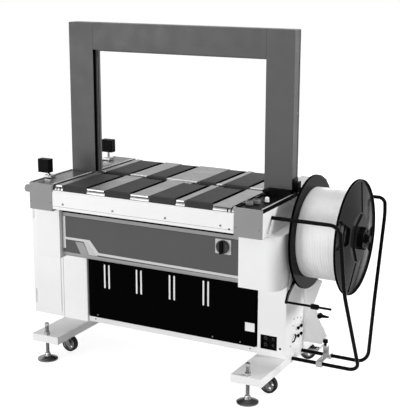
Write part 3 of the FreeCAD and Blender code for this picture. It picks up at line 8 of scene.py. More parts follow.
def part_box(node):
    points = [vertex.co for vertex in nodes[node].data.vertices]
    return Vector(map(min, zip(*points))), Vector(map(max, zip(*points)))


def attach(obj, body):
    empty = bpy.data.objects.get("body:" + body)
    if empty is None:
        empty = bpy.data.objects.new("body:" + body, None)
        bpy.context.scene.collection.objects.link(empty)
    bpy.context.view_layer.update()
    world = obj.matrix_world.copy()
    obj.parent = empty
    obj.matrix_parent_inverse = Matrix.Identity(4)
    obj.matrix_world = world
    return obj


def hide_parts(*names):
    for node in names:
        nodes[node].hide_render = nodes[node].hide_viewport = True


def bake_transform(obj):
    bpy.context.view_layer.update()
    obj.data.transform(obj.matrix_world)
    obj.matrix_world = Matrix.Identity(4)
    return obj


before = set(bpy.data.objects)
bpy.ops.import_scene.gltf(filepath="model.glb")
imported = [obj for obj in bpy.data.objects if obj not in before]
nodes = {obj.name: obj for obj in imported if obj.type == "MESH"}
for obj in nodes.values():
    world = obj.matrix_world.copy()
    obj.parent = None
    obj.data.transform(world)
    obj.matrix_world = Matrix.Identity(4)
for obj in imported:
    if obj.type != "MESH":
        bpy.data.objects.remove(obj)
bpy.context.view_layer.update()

# Places below are millimetres from the middle of the arch (x), the front of the table (y) and the floor (z)
MM = 0.001
TABLE_DEPTH = 700
MIDDLE = TABLE_DEPTH / 2
arch_low, arch_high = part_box("arch_frame")
arch_middle = (arch_low + arch_high) / 2
ORIGIN = Vector((arch_middle.x, arch_middle.y - MIDDLE * MM, 0))
X, Y, Z = Vector((1, 0, 0)), Vector((0, 1, 0)), Vector((0, 0, 1))
FRONT, REAR = (0, -1, 0), (0, 1, 0)


def at(x, y, z):
    return ORIGIN + Vector((x, y, z)) * MM


def machine(point):
    """The same place back in millimetres."""
    return (point - ORIGIN) / MM


def box_of(name):
    """Two corners of a node's box in millimetres."""
    low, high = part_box(name)
    return machine(low), machine(high)


# Camera, fitted to the photograph's straight edges
CAMERA_PLACE = (2171.7, -3548.1, 1772.3)
CAMERA_YAW, CAMERA_PITCH, CAMERA_ROLL = 27.95, 13.56, 0.11
FOCAL_PIXELS = 1029.4
PHOTO_HEIGHT = 415
SENSOR = 36
VIEW_END = 50
camera_data = bpy.data.cameras.new("camera")
camera_data.sensor_fit = "VERTICAL"
camera_data.sensor_height = SENSOR
camera_data.lens = FOCAL_PIXELS / PHOTO_HEIGHT * SENSOR
camera_data.clip_end = VIEW_END
camera = bpy.data.objects.new("camera", camera_data)
bpy.context.scene.collection.objects.link(camera)
yaw = Matrix.Rotation(math.radians(CAMERA_YAW), 4, "Z")
pitch = Matrix.Rotation(math.radians(90 - CAMERA_PITCH), 4, "X")
roll = Matrix.Rotation(math.radians(CAMERA_ROLL), 4, "Z")
camera.matrix_world = Matrix.Translation(at(*CAMERA_PLACE)) @ yaw @ pitch @ roll
bpy.context.scene.camera = camera
bpy.context.scene.view_settings.view_transform = "Standard"

# Materials
COAT_ROUGHNESS = 0.1
BEVEL_SAMPLES = 4


class Shader:
    """A material whose colour, roughness and bump come from its nodes."""

    def __init__(self, name, color, roughness, metallic=0.0, specular=0.5, coat=0.0):
        self.material = bpy.data.materials.new(name)
        self.material.use_nodes = True
        self.tree = self.material.node_tree
        self.bsdf = self.tree.nodes["Principled BSDF"]
        self.color = color
        self.bsdf.inputs["Base Color"].default_value = (*color, 1)
        self.bsdf.inputs["Roughness"].default_value = roughness
        self.bsdf.inputs["Metallic"].default_value = metallic
        self.bsdf.inputs["Specular IOR Level"].default_value = specular
        self.bsdf.inputs["Coat Weight"].default_value = coat
        self.bsdf.inputs["Coat Roughness"].default_value = COAT_ROUGHNESS
        self.place = self.node("ShaderNodeTexCoord").outputs["Object"]
        self.height = None

    def node(self, kind, **values):
        made = self.tree.nodes.new(kind)
        for key, value in values.items():
            setattr(made, key, value)
        return made

    def join(self, source, socket):
        self.tree.links.new(source, socket)

    def stretched(self, scale):
        mapping = self.node("ShaderNodeMapping")
        mapping.inputs["Scale"].default_value = scale
        self.join(self.place, mapping.inputs["Vector"])
        return mapping.outputs["Vector"]

    def noise(self, scale, detail=3, rough=0.5, stretch=None):
        made = self.node("ShaderNodeTexNoise")
        made.inputs["Scale"].default_value = scale
        made.inputs["Detail"].default_value = detail
        made.inputs["Roughness"].default_value = rough
        self.join(self.stretched(stretch) if stretch else self.place, made.inputs["Vector"])
        return made.outputs["Fac"]

    def wave(self, direction, scale, profile="SIN", distortion=0.0):
        made = self.node("ShaderNodeTexWave", bands_direction=direction, wave_profile=profile)
        made.inputs["Scale"].default_value = scale
        made.inputs["Distortion"].default_value = distortion
        self.join(self.place, made.inputs["Vector"])
        return made.outputs["Fac"]

    def span(self, source, low, high, from_low=0.3, from_high=0.7):
        made = self.node("ShaderNodeMapRange")
        made.inputs["From Min"].default_value = from_low
        made.inputs["From Max"].default_value = from_high
        made.inputs["To Min"].default_value = low
        made.inputs["To Max"].default_value = high
        self.join(source, made.inputs["Value"])
        return made.outputs["Result"]

    def math(self, operation, first, second):
        made = self.node("ShaderNodeMath", operation=operation)
        for socket, value in zip(made.inputs, (first, second)):
            if isinstance(value, (int, float)):
                socket.default_value = value
            else:
                self.join(value, socket)
        return made.outputs["Value"]

    def mottle(self, source, spread):
        """Lighter and darker patches of the base colour."""
        mix = self.node("ShaderNodeMix", data_type="RGBA")
        dark = [channel * (1 - spread) for channel in self.color]
        light = [min(1, channel * (1 + spread)) for channel in self.color]
        mix.inputs["A"].default_value = (*dark, 1)
        mix.inputs["B"].default_value = (*light, 1)
        self.join(source, mix.inputs["Factor"])
        self.join(mix.outputs["Result"], self.bsdf.inputs["Base Color"])

    def edge_wear(self, width, color, amount):
        """Paint that is rubbed thin where two faces meet."""
        bevel = self.node("ShaderNodeBevel", samples=BEVEL_SAMPLES)
        bevel.inputs["Radius"].default_value = width
        self.height = bevel.outputs["Normal"]
        dot = self.node("ShaderNodeVectorMath", operation="DOT_PRODUCT")
        self.join(bevel.outputs["Normal"], dot.inputs[0])
        self.join(self.node("ShaderNodeNewGeometry").outputs["Normal"], dot.inputs[1])
        edge = self.span(dot.outputs["Value"], amount, 0, from_low=0.75, from_high=0.98)
        broken = self.noise(scale=60, detail=4, rough=0.7)
        edge = self.math("MULTIPLY", edge, self.span(broken, 0, 1, from_low=0.42, from_high=0.62))
        old = self.bsdf.inputs["Base Color"].links[0].from_socket
        mix = self.node("ShaderNodeMix", data_type="RGBA")
        self.join(edge, mix.inputs["Factor"])
        self.join(old, mix.inputs["A"])
        mix.inputs["B"].default_value = (*color, 1)
        self.join(mix.outputs["Result"], self.bsdf.inputs["Base Color"])

    def rough(self, source, low, high):
        self.join(self.span(source, low, high), self.bsdf.inputs["Roughness"])

    def bump(self, height, distance, strength):
        made = self.node("ShaderNodeBump")
        made.inputs["Strength"].default_value = strength
        made.inputs["Distance"].default_value = distance
        self.join(height, made.inputs["Height"])
        if self.height:
            self.join(self.height, made.inputs["Normal"])
        self.height = made.outputs["Normal"]
        self.join(self.height, self.bsdf.inputs["Normal"])


def grey(level):
    return (level, level, level)


def painted(name, level, wear, roughness=0.42, specular=0.5, coat=0.0):
    """Powder coat: faint clouding, orange peel and rubbed edges."""
    made = Shader(name, grey(level), roughness, specular=specular, coat=coat)
    made.mottle(made.span(made.noise(scale=5, detail=4, rough=0.6), 0, 1), spread=0.025)
    made.edge_wear(width=0.0015, color=grey(wear), amount=0.35)
    made.rough(made.noise(scale=14), low=roughness - 0.06, high=roughness + 0.08)
    made.bump(made.noise(scale=900, detail=2), distance=0.00012, strength=0.35)
    return made.material


def plastic(name, level, roughness, grain=1400, strength=0.3, specular=0.5):
    """Moulded plastic: fine grain, and edges a little paler from handling."""
    made = Shader(name, grey(level), roughness, specular=specular)
    made.mottle(made.span(made.noise(scale=9, detail=4), 0, 1), spread=0.08)
    worn = min(1, level * 2 + 0.006)
    made.edge_wear(width=0.0012, color=grey(worn), amount=0.4)
    made.rough(made.noise(scale=25), low=roughness - 0.07, high=roughness + 0.08)
    made.bump(made.noise(scale=grain, rough=0.6), distance=0.0001, strength=strength)
    return made.material


def metal(name, level, roughness, stretch=(1, 1, 1), fine=500):
    """Bare steel with fine drawn lines along one way."""
    made = Shader(name, grey(level), roughness, metallic=1.0)
    lines = made.noise(scale=fine, rough=0.6, stretch=stretch)
    made.mottle(made.span(lines, 0, 1, from_low=0.35, from_high=0.65), spread=0.12)
    made.rough(made.noise(scale=12, detail=4), low=roughness - 0.08, high=roughness + 0.12)
    made.bump(lines, distance=0.00008, strength=0.25)
    return made.material


def threaded(name, level, roughness):
    """Steel rod with a cut thread."""
    made = Shader(name, grey(level), roughness, metallic=1.0)
    thread = made.wave("Z", scale=160, profile="TRI")
    made.mottle(made.span(thread, 0, 1, from_low=0.1, from_high=0.9), spread=0.3)
    made.rough(made.noise(scale=40), low=roughness - 0.08, high=roughness + 0.12)
    made.bump(thread, distance=0.0008, strength=0.8)
    return made.material


def rubber(name, level, roughness):
    """Dull rubber with a coarse skin."""
    made = Shader(name, grey(level), roughness, specular=0.15)
    made.mottle(made.span(made.noise(scale=40, detail=4), 0, 1), spread=0.2)
    made.rough(made.noise(scale=30), low=roughness - 0.1, high=roughness + 0.1)
    made.bump(made.noise(scale=700, detail=4, rough=0.7), distance=0.0002, strength=0.4)
    return made.material


def belt_cloth(name, level, roughness):
    """Rubber belt with a fine woven face, scuffed along its run."""
    made = Shader(name, grey(level), roughness, specular=0.08)
    scuff = made.noise(scale=30, detail=5, rough=0.65, stretch=(9, 0.6, 1))
    made.mottle(made.span(scuff, 0, 1, from_low=0.35, from_high=0.65), spread=0.14)
    across, along = [made.wave(direction, scale=260, distortion=0.4) for direction in ("X", "Y")]
    made.rough(scuff, low=roughness - 0.1, high=roughness + 0.08)
    made.bump(made.math("MULTIPLY", across, along), distance=0.00025, strength=0.4)
    return made.material


# Steel is drawn along X, and the bed plates along Y
ALONG_X, ALONG_Y = (0.05, 1, 1), (1, 0.05, 1)

white = painted("white_powder", level=0.84, roughness=0.4, wear=0.5, coat=0.05)
# The guide plate's white is paler than the same paint elsewhere: painted light on it
painted_lit_white = painted("painted_lit_white", level=0.95, roughness=0.4, wear=0.5, coat=0.05)
arch_grey = painted("arch_grey", level=0.095, wear=0.2, specular=0.15)
seam_grey = painted("seam_grey", level=0.05, roughness=0.5, wear=0.1, specular=0.1)
door_grey = painted("door_grey", level=0.09, roughness=0.45, wear=0.2, specular=0.12)
band_grey = painted("band_grey", level=0.33, wear=0.5, specular=0.2)
trim_grey = painted("trim_grey", level=0.58, roughness=0.4, wear=0.7)
trim_mid = painted("trim_mid", level=0.29, wear=0.4, specular=0.2)
light_accent_and_highlight = painted("light_accent_and_highlight", level=0.5, roughness=0.4, wear=0.7)
cap_grey = painted("cap_grey", level=0.265, roughness=0.48, wear=0.4, specular=0.25)
black_paint = painted("black_powder", level=0.0015, roughness=0.2, wear=0.01, specular=0.05)
panel_black = painted("panel_black", level=0.002, roughness=0.6, wear=0.02, specular=0.0)
deck_grey = painted("deck_grey", level=0.06, roughness=0.25, wear=0.2, specular=0.3)
rear_deck_grey = painted("rear_deck_grey", level=0.3, roughness=0.35, wear=0.5)
black_plastic = plastic("black_plastic", level=0.003, roughness=0.4, specular=0.03)
deck_black = plastic("deck_black", level=0.006, roughness=0.3, specular=0.012)
gloss_black = plastic("gloss_black", level=0.012, roughness=0.16, strength=0.08, specular=0.025)
grey_plastic = plastic("grey_plastic", level=0.2, roughness=0.35, specular=0.3)
dark_grey_plastic = plastic("dark_grey_plastic", level=0.04, roughness=0.3, specular=0.2)
white_plastic = plastic("white_plastic", level=0.86, roughness=0.3)
strap_white = plastic("strap_white", level=0.8, roughness=0.4, grain=900, strength=0.15)
steel = metal("steel_drawn", level=0.26, roughness=0.38, stretch=ALONG_X, fine=900)
plate_steel = metal("plate_steel", level=0.26, roughness=0.42, stretch=ALONG_Y, fine=700)
# Paler steel for the front faces of the bed plates: painted highlight
lit_nose_steel = metal("lit_nose_steel", level=0.5, roughness=0.35, stretch=ALONG_X, fine=900)
# Near-white steel for strips on the rear plates' noses: painted highlight
nose_highlight_steel = metal("nose_highlight_steel", level=0.9, roughness=0.25, stretch=ALONG_X, fine=900)
pad_steel = metal("pad_steel", level=0.16, roughness=0.3)
zinc = metal("zinc", level=0.36, roughness=0.26)
caster_steel = metal("caster_steel", level=0.2, roughness=0.3)
thread_steel = threaded("thread_steel", level=0.16, roughness=0.3)
tyre = rubber("tyre", level=0.012, roughness=0.7)
ring_rubber = rubber("ring_rubber", level=0.003, roughness=0.6)
belt_rubber = belt_cloth("belt_rubber", level=0.036, roughness=0.6)

# The nodes that wear each finish all over, or on the faces that no rule below picks
finishes = (
    (white, "left_leg", "right_leg", "cross_frame", "left_housing", "right_housing", "side_covers", "aprons",
     "electrical_box", "electrical_box_door"),
    # the guide plate in the paler white: painted light
    (painted_lit_white, "guide_plate"),
    (arch_grey, "arch_frame", "arch_track", "belt_motor"),
    (door_grey, "front_door", "rear_door"),
    (trim_grey, "door_trim"),
    (cap_grey, "corner_caps"),
    (black_paint, "table_frame", "arch_bracket", "dancer_arm", "guard_tubes"),
    (panel_black, "strap_pool"),
    (deck_grey, "left_deck"),
    (deck_black, "right_deck"),
    (black_plastic, "control_fittings", "emergency_stop", "switch_knob", "photo_eyes", "star_nut",
     "release_lever", "clamp_knob"),
    (dark_grey_plastic, "push_button_1", "push_button_2"),
    (gloss_black, "reel_core", "reel_inner_flange", "reel_outer_flange"),
    (strap_white, "strap_coil"),
    (steel, "strapping_head", "feed_roller", "front_roller", "front_inner_roller", "rear_inner_roller",
     "rear_roller"),
    (plate_steel, "bed_plates"),
    (zinc, "dancer_spring", "guard_clamp", "caster_brake"),
    (belt_rubber, "belts"),
    (caster_steel, "caster_fork", "caster_wheel"),
    (zinc, "levelling_foot"),
)

# Where a node's finish changes
DOOR_BAND_TOP = 505.5
SWITCH_PLATE_LEFT, TRIM_FACE, TRIM_TOP_BAND = 325, 65.9, 668
LAST_PLATE_LEFT, NOSE_DEPTH = 340, 40
DECK_RIM, REAR_DECK_START = 822.5, 375
FRONT_EYE_NECK, REAR_EYE_NECK = 842.5, 861.5
BUTTON_MIDDLES, BUTTON_RIM = ((460, 100), (476, 136)), 17
LAMP_MIDDLE, LAMP_RADIUS, LAMP_FOOT = (511, 160), 10, 819.5
SOCKETS = (460, 250.9, 155), (520, 257.6, 205)
CONNECTORS = (447, 250.9, 143), (536, 275, 217)
CABINET_PARTS = (-722, 384, 140), (-590, 444, 680)
MOUNTING_PLATE = (-722, 444, 140), (-590, 449.5, 680)
SPINDLE_END = 850
REEL_AXIS, FLANGE_RIM = (MIDDLE, 665), 225
SWITCH_BODY = 49.5
PAD_TOP, SCREW_RADIUS = 26.5, 8.5
HUB_RADIUS = 29
RING_INNER, RING_OUTER = 19, 20.9
FACING, FACING_MOST, FACING_ASIDE = 0.5, 0.6, 0.7


def within(place, box):
    low, high = box
    return all(a <= value <= b for a, value, b in zip(low, place, high))


def from_axis(first, second, centre):
    """Distance from a line of two parts of a place, such as its y and z."""
    return math.hypot(first - centre[0], second - centre[1])


def on_button(p):
    return min(math.dist((p.x, p.y), middle) for middle in BUTTON_MIDDLES) < BUTTON_RIM


def on_flange_rim(p, n):
    return abs(n.x) < FACING_ASIDE and from_axis(p.y, p.z, REEL_AXIS) > FLANGE_RIM


# For each node, the faces with another finish, chosen by their centre and the way they face
rules = {
    "front_door": [(lambda p, n: p.z < DOOR_BAND_TOP, band_grey)],
    "rear_door": [(lambda p, n: p.z < DOOR_BAND_TOP, band_grey)],
    "door_trim": [
        (lambda p, n: p.x > SWITCH_PLATE_LEFT and p.y < TRIM_FACE, light_accent_and_highlight),
        # painted shade: the top band's upper, lower and end faces in black, for the dark gaps along it
        (lambda p, n: p.z > TRIM_TOP_BAND and p.x < SWITCH_PLATE_LEFT and abs(n.y) < FACING, panel_black)],
    "bed_plates": [
        (lambda p, n: n.y < -FACING_MOST and p.x > LAST_PLATE_LEFT and p.y < NOSE_DEPTH, pad_steel),
        # painted highlight: the plates' other front faces in a paler steel
        (lambda p, n: n.y < -FACING_MOST, lit_nose_steel)],
    "right_deck": [
        # painted highlight: the rim's top faces paler, for the light line along its edge
        (lambda p, n: p.z > DECK_RIM, light_accent_and_highlight),
        (lambda p, n: p.y > REAR_DECK_START, rear_deck_grey)],
    "left_deck": [(lambda p, n: p.z > DECK_RIM, light_accent_and_highlight)],
    "photo_eyes": [(lambda p, n: p.z < (FRONT_EYE_NECK if p.y < MIDDLE else REAR_EYE_NECK), zinc)],
    "control_fittings": [
        (lambda p, n: on_button(p), grey_plastic),
        (lambda p, n: math.dist((p.x, p.y), LAMP_MIDDLE) < LAMP_RADIUS and p.z > LAMP_FOOT, white_plastic)],
    "right_leg": [
        (lambda p, n: within(p, SOCKETS) and n.y < -FACING, dark_grey_plastic),
        (lambda p, n: within(p, CONNECTORS), black_plastic)],
    "electrical_box": [
        (lambda p, n: within(p, CABINET_PARTS), dark_grey_plastic),
        (lambda p, n: within(p, MOUNTING_PLATE), zinc)],
    "reel_core": [(lambda p, n: p.x > SPINDLE_END, black_plastic)],
    # painted shade: the flanges' outer rims in flat black without gloss
    "reel_outer_flange": [(on_flange_rim, panel_black)],
    "reel_inner_flange": [(on_flange_rim, panel_black)],
    "switch_knob": [(lambda p, n: p.y > SWITCH_BODY, dark_grey_plastic)],
}


def own_rules(name):
    """Rules of a node that stands in several places, measured from its own middle."""
    low, high = box_of(name)
    middle = (low + high) / 2
    if name.startswith("levelling_foot"):
        return [(lambda p, n: p.z < PAD_TOP, pad_steel),
                (lambda p, n: from_axis(p.x, p.y, middle.xy) < SCREW_RADIUS, thread_steel)]
    if name.startswith("caster_wheel"):
        return [(lambda p, n: from_axis(p.x, p.z, middle.xz) > HUB_RADIUS, tyre)]
    if name.endswith("roller") and name != "feed_roller":
        return [(lambda p, n: abs(n.x) < FACING
                 and RING_INNER < from_axis(p.y, p.z, middle.yz) < RING_OUTER, ring_rubber)]
    return rules.get(name, ())


def dress(obj, material, choices):
    """Give a CAD node its finish, and the faces that a rule picks another one."""
    obj.data.materials.clear()
    obj.data.materials.append(material)
    for _, other in choices:
        obj.data.materials.append(other)
    for face in obj.data.polygons:
        place = machine(face.center)
        picked = [index for index, (test, _) in enumerate(choices) if test(place, face.normal)]
        face.material_index = picked[0] + 1 if picked else 0


for name, obj in nodes.items():
    material = next(row[0] for row in finishes if name.startswith(row[1:]))
    dress(obj, material, own_rules(name))

# Pieces in mesh code
SHARP_ANGLE = math.radians(35)
AXIS_RADIUS, SCREW_SEGMENTS = 0.05, 16


def mesh_piece(name, verts, faces, material, body):
    mesh = bpy.data.meshes.new(name)
    mesh.from_pydata([tuple(v) for v in verts], [], faces)
    mesh.validate()
    shell = bmesh.new()
    shell.from_mesh(mesh)
    bmesh.ops.recalc_face_normals(shell, faces=shell.faces)
    shell.to_mesh(mesh)
    shell.free()
    mesh.materials.append(material)
    piece = bpy.data.objects.new(name, mesh)
    bpy.context.scene.collection.objects.link(piece)
    mesh.shade_smooth()
    mesh.set_sharp_from_angle(angle=SHARP_ANGLE)
    if body:
        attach(piece, body)
    return piece


class Build:
    """Vertices and faces that end up in one piece."""

    def __init__(self):
        self.verts = []
        self.faces = []

    def grid(self, rings, closed):
        """Quads between rings of points, and from the last ring to the first where they close."""
        base = len(self.verts)
        across = len(rings[0])
        for ring in rings:
            self.verts.extend(ring)
        for row in range(len(rings) if closed else len(rings) - 1):
            below = base + row * across
            above = base + (row + 1) % len(rings) * across
            for column in range(across):
                after = (column + 1) % across
                self.faces.append((below + column, below + after, above + after, above + column))
        return base

    def swept(self, rings, closed=False):
        """A tube through rings of points, capped where it is open."""
        base = self.grid(rings, closed)
        if not closed:
            count = len(rings[0])
            last = base + (len(rings) - 1) * count
            self.faces.append(tuple(reversed(range(base, base + count))))
            self.faces.append(tuple(range(last, last + count)))

    def lathe(self, outline, centre, axis, segments, closed=False):
        """An outline of (radius, height) turned round an axis through centre."""
        up = Vector(axis).normalized()
        side = up.orthogonal().normalized()
        front = up.cross(side)
        rows = []
        for radius, height in outline:
            row = []
            for index in range(segments):
                angle = math.tau * index / segments
                out = side * math.cos(angle) + front * math.sin(angle)
                row.append(centre + (out * radius + up * height) * MM)
            rows.append(row)
        self.swept(rows, closed)

    def box(self, low, high, edge=0.0):
        """A block between two corners, with its upright and level edges cut back."""
        (x0, y0, z0), (x1, y1, z1) = low, high
        e = edge
        outline = [(x0, y0), (x1, y0), (x1, y1), (x0, y1)]
        levels = [(z0, 0), (z1, 0)]
        if e:
            outline = [(x0 + e, y0), (x1 - e, y0), (x1, y0 + e), (x1, y1 - e),
                       (x1 - e, y1), (x0 + e, y1), (x0, y1 - e), (x0, y0 + e)]
            levels = [(z0, e), (z0 + e, 0), (z1 - e, 0), (z1, e)]
        mid_x, mid_y = (x0 + x1) / 2, (y0 + y1) / 2
        self.swept([[at(x + math.copysign(inset, mid_x - x), y + math.copysign(inset, mid_y - y), z)
                     for x, y in outline] for z, inset in levels])

    def plate(self, outline, steps, sweep):
        """A flat outline of places pushed along sweep; each step is (share of the way, cut off the edge)."""
        points = [at(*point) for point in outline]
        middle = sum(points, Vector()) / len(points)
        sweep = Vector(sweep) * MM
        self.swept([[point + sweep * share + (middle - point).normalized() * cut * MM for point in points]
                    for share, cut in steps])

    def screw(self, place, axis, radius, height):
        """A pan head with a round socket."""
        outline = [(AXIS_RADIUS, height * 0.4), (radius * 0.42, height * 0.4), (radius * 0.48, height),
                   (radius * 0.75, height * 0.97), (radius * 0.94, height * 0.68), (radius, height * 0.2),
                   (radius, 0), (AXIS_RADIUS, 0)]
        self.lathe(outline, at(*place), axis, SCREW_SEGMENTS)

    def bead(self, points, radius, count=10):
        self.swept(tube_rings([at(*point) for point in points], radius, count))

    def piece(self, name, material, body, slot=None):
        return mesh_piece(name, self.verts, self.faces, material, body)


def tube_rings(path, radius, count):
    """Rings round a line of points, carried along without twist."""
    rings = []
    side = None
    for index, point in enumerate(path):
        before = path[max(index - 1, 0)]
        after = path[min(index + 1, len(path) - 1)]
        way = (after - before).normalized()
        if side is None:
            side = way.orthogonal().normalized()
        side = (side - way * side.dot(way)).normalized()
        up = way.cross(side)
        ring = []
        for turn in range(count):
            angle = math.tau * turn / count
            ring.append(point + (side * math.cos(angle) + up * math.sin(angle)) * radius * MM)
        rings.append(ring)
    return rings


def islands(name):
    """The two corners of each loose part of a node's mesh, in millimetres."""
    mesh = nodes[name].data
    parent = list(range(len(mesh.vertices)))

    def root(index):
        while parent[index] != index:
            parent[index] = parent[parent[index]]
            index = parent[index]
        return index

    seen = {}
    same_place = 1e5
    for vertex in mesh.vertices:
        key = tuple(round(value * same_place) for value in vertex.co)
        parent[root(vertex.index)] = root(seen.setdefault(key, vertex.index))
    for edge in mesh.edges:
        parent[root(edge.vertices[0])] = root(edge.vertices[1])
    parts = {}
    for vertex in mesh.vertices:
        parts.setdefault(root(vertex.index), []).append(machine(vertex.co))
    boxes = []
    for points in parts.values():
        axes = list(zip(*points))
        boxes.append((Vector([min(values) for values in axes]), Vector([max(values) for values in axes])))
    return boxes


# Reel: flat strap wound in one layer over the earlier ones, whose edges show as fine rings at both sides
CORE_RADIUS, COIL_RADIUS = 100, 190
STRAP_TURNS, TURN_STEPS, TURN_GAP = 15, 96, 0.7
STRAP_THICK = 0.9
COIL_SEGMENTS = 120


def strap_section(half):
    """Half a strap's width to either side of its middle, with rounded outer corners."""
    corner, down, soft = 0.5, 0.35, 0.05
    right = [(half * 0.5, 0), (half - corner, -soft), (half, -down), (half, -STRAP_THICK)]
    return [(-across, up) for across, up in reversed(right)] + right


def old_layers():
    """Edges of the layers below, each a little nearer or farther from the flange."""
    layers, gap = 44, 0.2
    groove, edge = 1.1, 0.75
    depth = (COIL_RADIUS - STRAP_THICK - CORE_RADIUS) / layers
    side = []
    for layer in range(layers):
        radius = CORE_RADIUS + gap + layer * depth
        wander = 0.45 * math.sin(layer * 2.4) + 0.3 * math.sin(layer * 5.1)
        side += [(radius, groove + wander), (radius + depth * 0.25, edge + wander),
                 (radius + depth * 0.75, edge + wander)]
    return side


def strap_coil():
    low, high = box_of("strap_coil")
    width = high.x - low.x
    start = at(low.x, (low.y + high.y) / 2, (low.z + high.z) / 2)
    strap = Build()
    pitch = width / (STRAP_TURNS + 1)
    section = strap_section((pitch - TURN_GAP) / 2)
    wobble, wobble_rate = 0.22, 0.37
    rings = []
    for step in range(STRAP_TURNS * TURN_STEPS + 1):
        angle = math.tau * step / TURN_STEPS
        lift = COIL_RADIUS + wobble * math.sin(angle * wobble_rate) - wobble
        out = Y * math.cos(angle) + Z * math.sin(angle)
        middle = pitch / 2 + pitch * step / TURN_STEPS
        rings.append([start + (X * (middle + across) + out * (lift + up)) * MM for across, up in section])
    strap.swept(rings)
    side = old_layers()
    under, inset = COIL_RADIUS - STRAP_THICK - 0.1, 1.2
    far_side = [(radius, width - height) for radius, height in reversed(side)]
    outline = side + [(under, inset), (under, width - inset)] + far_side
    strap.lathe(outline, start, X, COIL_SEGMENTS, closed=True)
    piece = strap.piece("strap_winding", strap_white, "reel", "white_strap")
    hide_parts("strap_coil")


strap_coil()

# Dancer spring with a hook at each end
SPRING_TOP, SPRING_KNEE = (621, 170, 560), (621, 137, 447)
SPRING_RADIUS, WIRE_RADIUS, SPRING_CURLS, CURL_STEPS = 5.5, 0.9, 24, 16
LOWER_LEAD, UPPER_LEAD = 23.5, 6.5
LOWER_HOOK = ((20.5, 1), (22, 4))
HOOK_RADIUS, HOOK_ANGLES = 4.3, range(-60, 211, 30)
WIRE_SIDES = 8


def dancer_spring():
    top, knee = at(*SPRING_TOP), at(*SPRING_KNEE)
    run = (top - knee).normalized()
    side = run.cross(X).normalized()
    front = run.cross(side)
    start = knee + run * LOWER_LEAD * MM
    length = (top - knee).length - (LOWER_LEAD + UPPER_LEAD) * MM
    path = [knee + (run * up + side * out) * MM for up, out in LOWER_HOOK]
    steps = SPRING_CURLS * CURL_STEPS
    for step in range(steps + 1):
        angle = math.tau * step / CURL_STEPS
        out = side * math.cos(angle) + front * math.sin(angle)
        path.append(start + run * (length * step / steps) + out * SPRING_RADIUS * MM)
    for angle in map(math.radians, HOOK_ANGLES):
        path.append(top + (side * math.cos(angle) + run * math.sin(angle)) * HOOK_RADIUS * MM)
    spring = Build()
    spring.swept(tube_rings(path, WIRE_RADIUS, WIRE_SIDES))
    piece = spring.piece("dancer_coil", zinc, None, "zinc")
    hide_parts("dancer_spring")
    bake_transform(piece)


dancer_spring()

# Belts with rounded edges; the black strip along the right of their top run is painted gap shade
BELT_THICK, BELT_SHADE_WIDTH, BELT_ARC_STEPS = 2.5, 11, 20
belt_boxes = islands("belts")
belt_top = max(high.z for low, high in belt_boxes)


def belt_section(width):
    rounded = [(0, 0.8), (0.25, 0.25), (0.9, 0), (3, 0)]
    far = [(width - across, down) for across, down in reversed(rounded)]
    return rounded + [(width - BELT_SHADE_WIDTH, 0)] + far + [(width, BELT_THICK), (0, BELT_THICK)]


def belts():
    build = Build()
    for low, high in belt_boxes:
        radius = (high.z - low.z) / 2
        level = (high.z + low.z) / 2
        rings = []
        for centre, first in ((low.y + radius, math.pi), (high.y - radius, 0)):
            for step in range(BELT_ARC_STEPS + 1):
                angle = first + math.pi * (0.5 - step / BELT_ARC_STEPS)
                rings.append([at(low.x + across, centre + math.cos(angle) * (radius - down),
                                 level + math.sin(angle) * (radius - down))
                              for across, down in belt_section(high.x - low.x)])
        build.swept(rings, closed=True)
    piece = build.piece("table_belts", belt_rubber, "frame", "belt_fabric")
    # Painted shade: the strip along the right edge of each belt's top run turns black
    piece.data.materials.append(panel_black)
    for face in piece.data.polygons:
        place = machine(face.center)
        in_gap_shade = any(high.x - BELT_SHADE_WIDTH < place.x < high.x and low.y < place.y < high.y
                      for low, high in belt_boxes)
        if in_gap_shade and place.z > belt_top - 1:
            face.material_index = 1
    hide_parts("belts")


belts()

# Faces that the small pieces lie on
plate_boxes = islands("bed_plates")
bed_top = box_of("bed_plates")[1].z
apron_low, apron_high = box_of("aprons")
pool_low, pool_high = box_of("strap_pool")
door_low, door_high = box_of("front_door")
cover_low, cover_high = box_of("side_covers")
arch_near, arch_far = box_of("arch_frame")
opening = box_of("arch_track")[1]
flange_face = box_of("reel_outer_flange")[0].x
COLUMN_INSET = 3
column_side = box_of("right_leg")[1].x - COLUMN_INSET
SOFT_EDGE = ((0, 0), (0.6, 0), (1, 0.5))


def stadium(x, y, z0, z1, width, steps=6):
    """Upright slot outline in the X-Z plane."""
    r = width / 2
    points = []
    for centre, first in ((z1 - r, 0), (z0 + r, 180)):
        for step in range(steps + 1):
            angle = math.radians(first + 180 * step / steps)
            points.append((x + r * math.cos(angle), y, centre + r * math.sin(angle)))
    return points


def rounded_box(x0, x1, y, z0, z1, radius, steps=4):
    left, right, bottom, top = x0 + radius, x1 - radius, z0 + radius, z1 - radius
    corners = ((right, top), (left, top), (left, bottom), (right, bottom))
    points = []
    for quarter, (x, z) in enumerate(corners):
        for step in range(steps + 1):
            angle = math.radians(90 * (quarter + step / steps))
            points.append((x + radius * math.cos(angle), y, z + radius * math.sin(angle)))
    return points


def belt_gap_shades():
    """Painted shade: black strips beside the belts, in the dark gaps between them and the bed plates."""
    build = Build()
    gap, width, down, up = 0.2, 5.8, 0.4, 0.4
    front_run, rear_run = (34, 306), (390, 666)
    for low, high in belt_boxes:
        y0, y1 = front_run if low.y < MIDDLE else rear_run
        x = round(high.x, 1) + gap
        build.box((x, y0, bed_top - down), (x + width, y1, bed_top + up))
    build.piece("belt_gap_shades", panel_black, "frame", "belt_fabric")


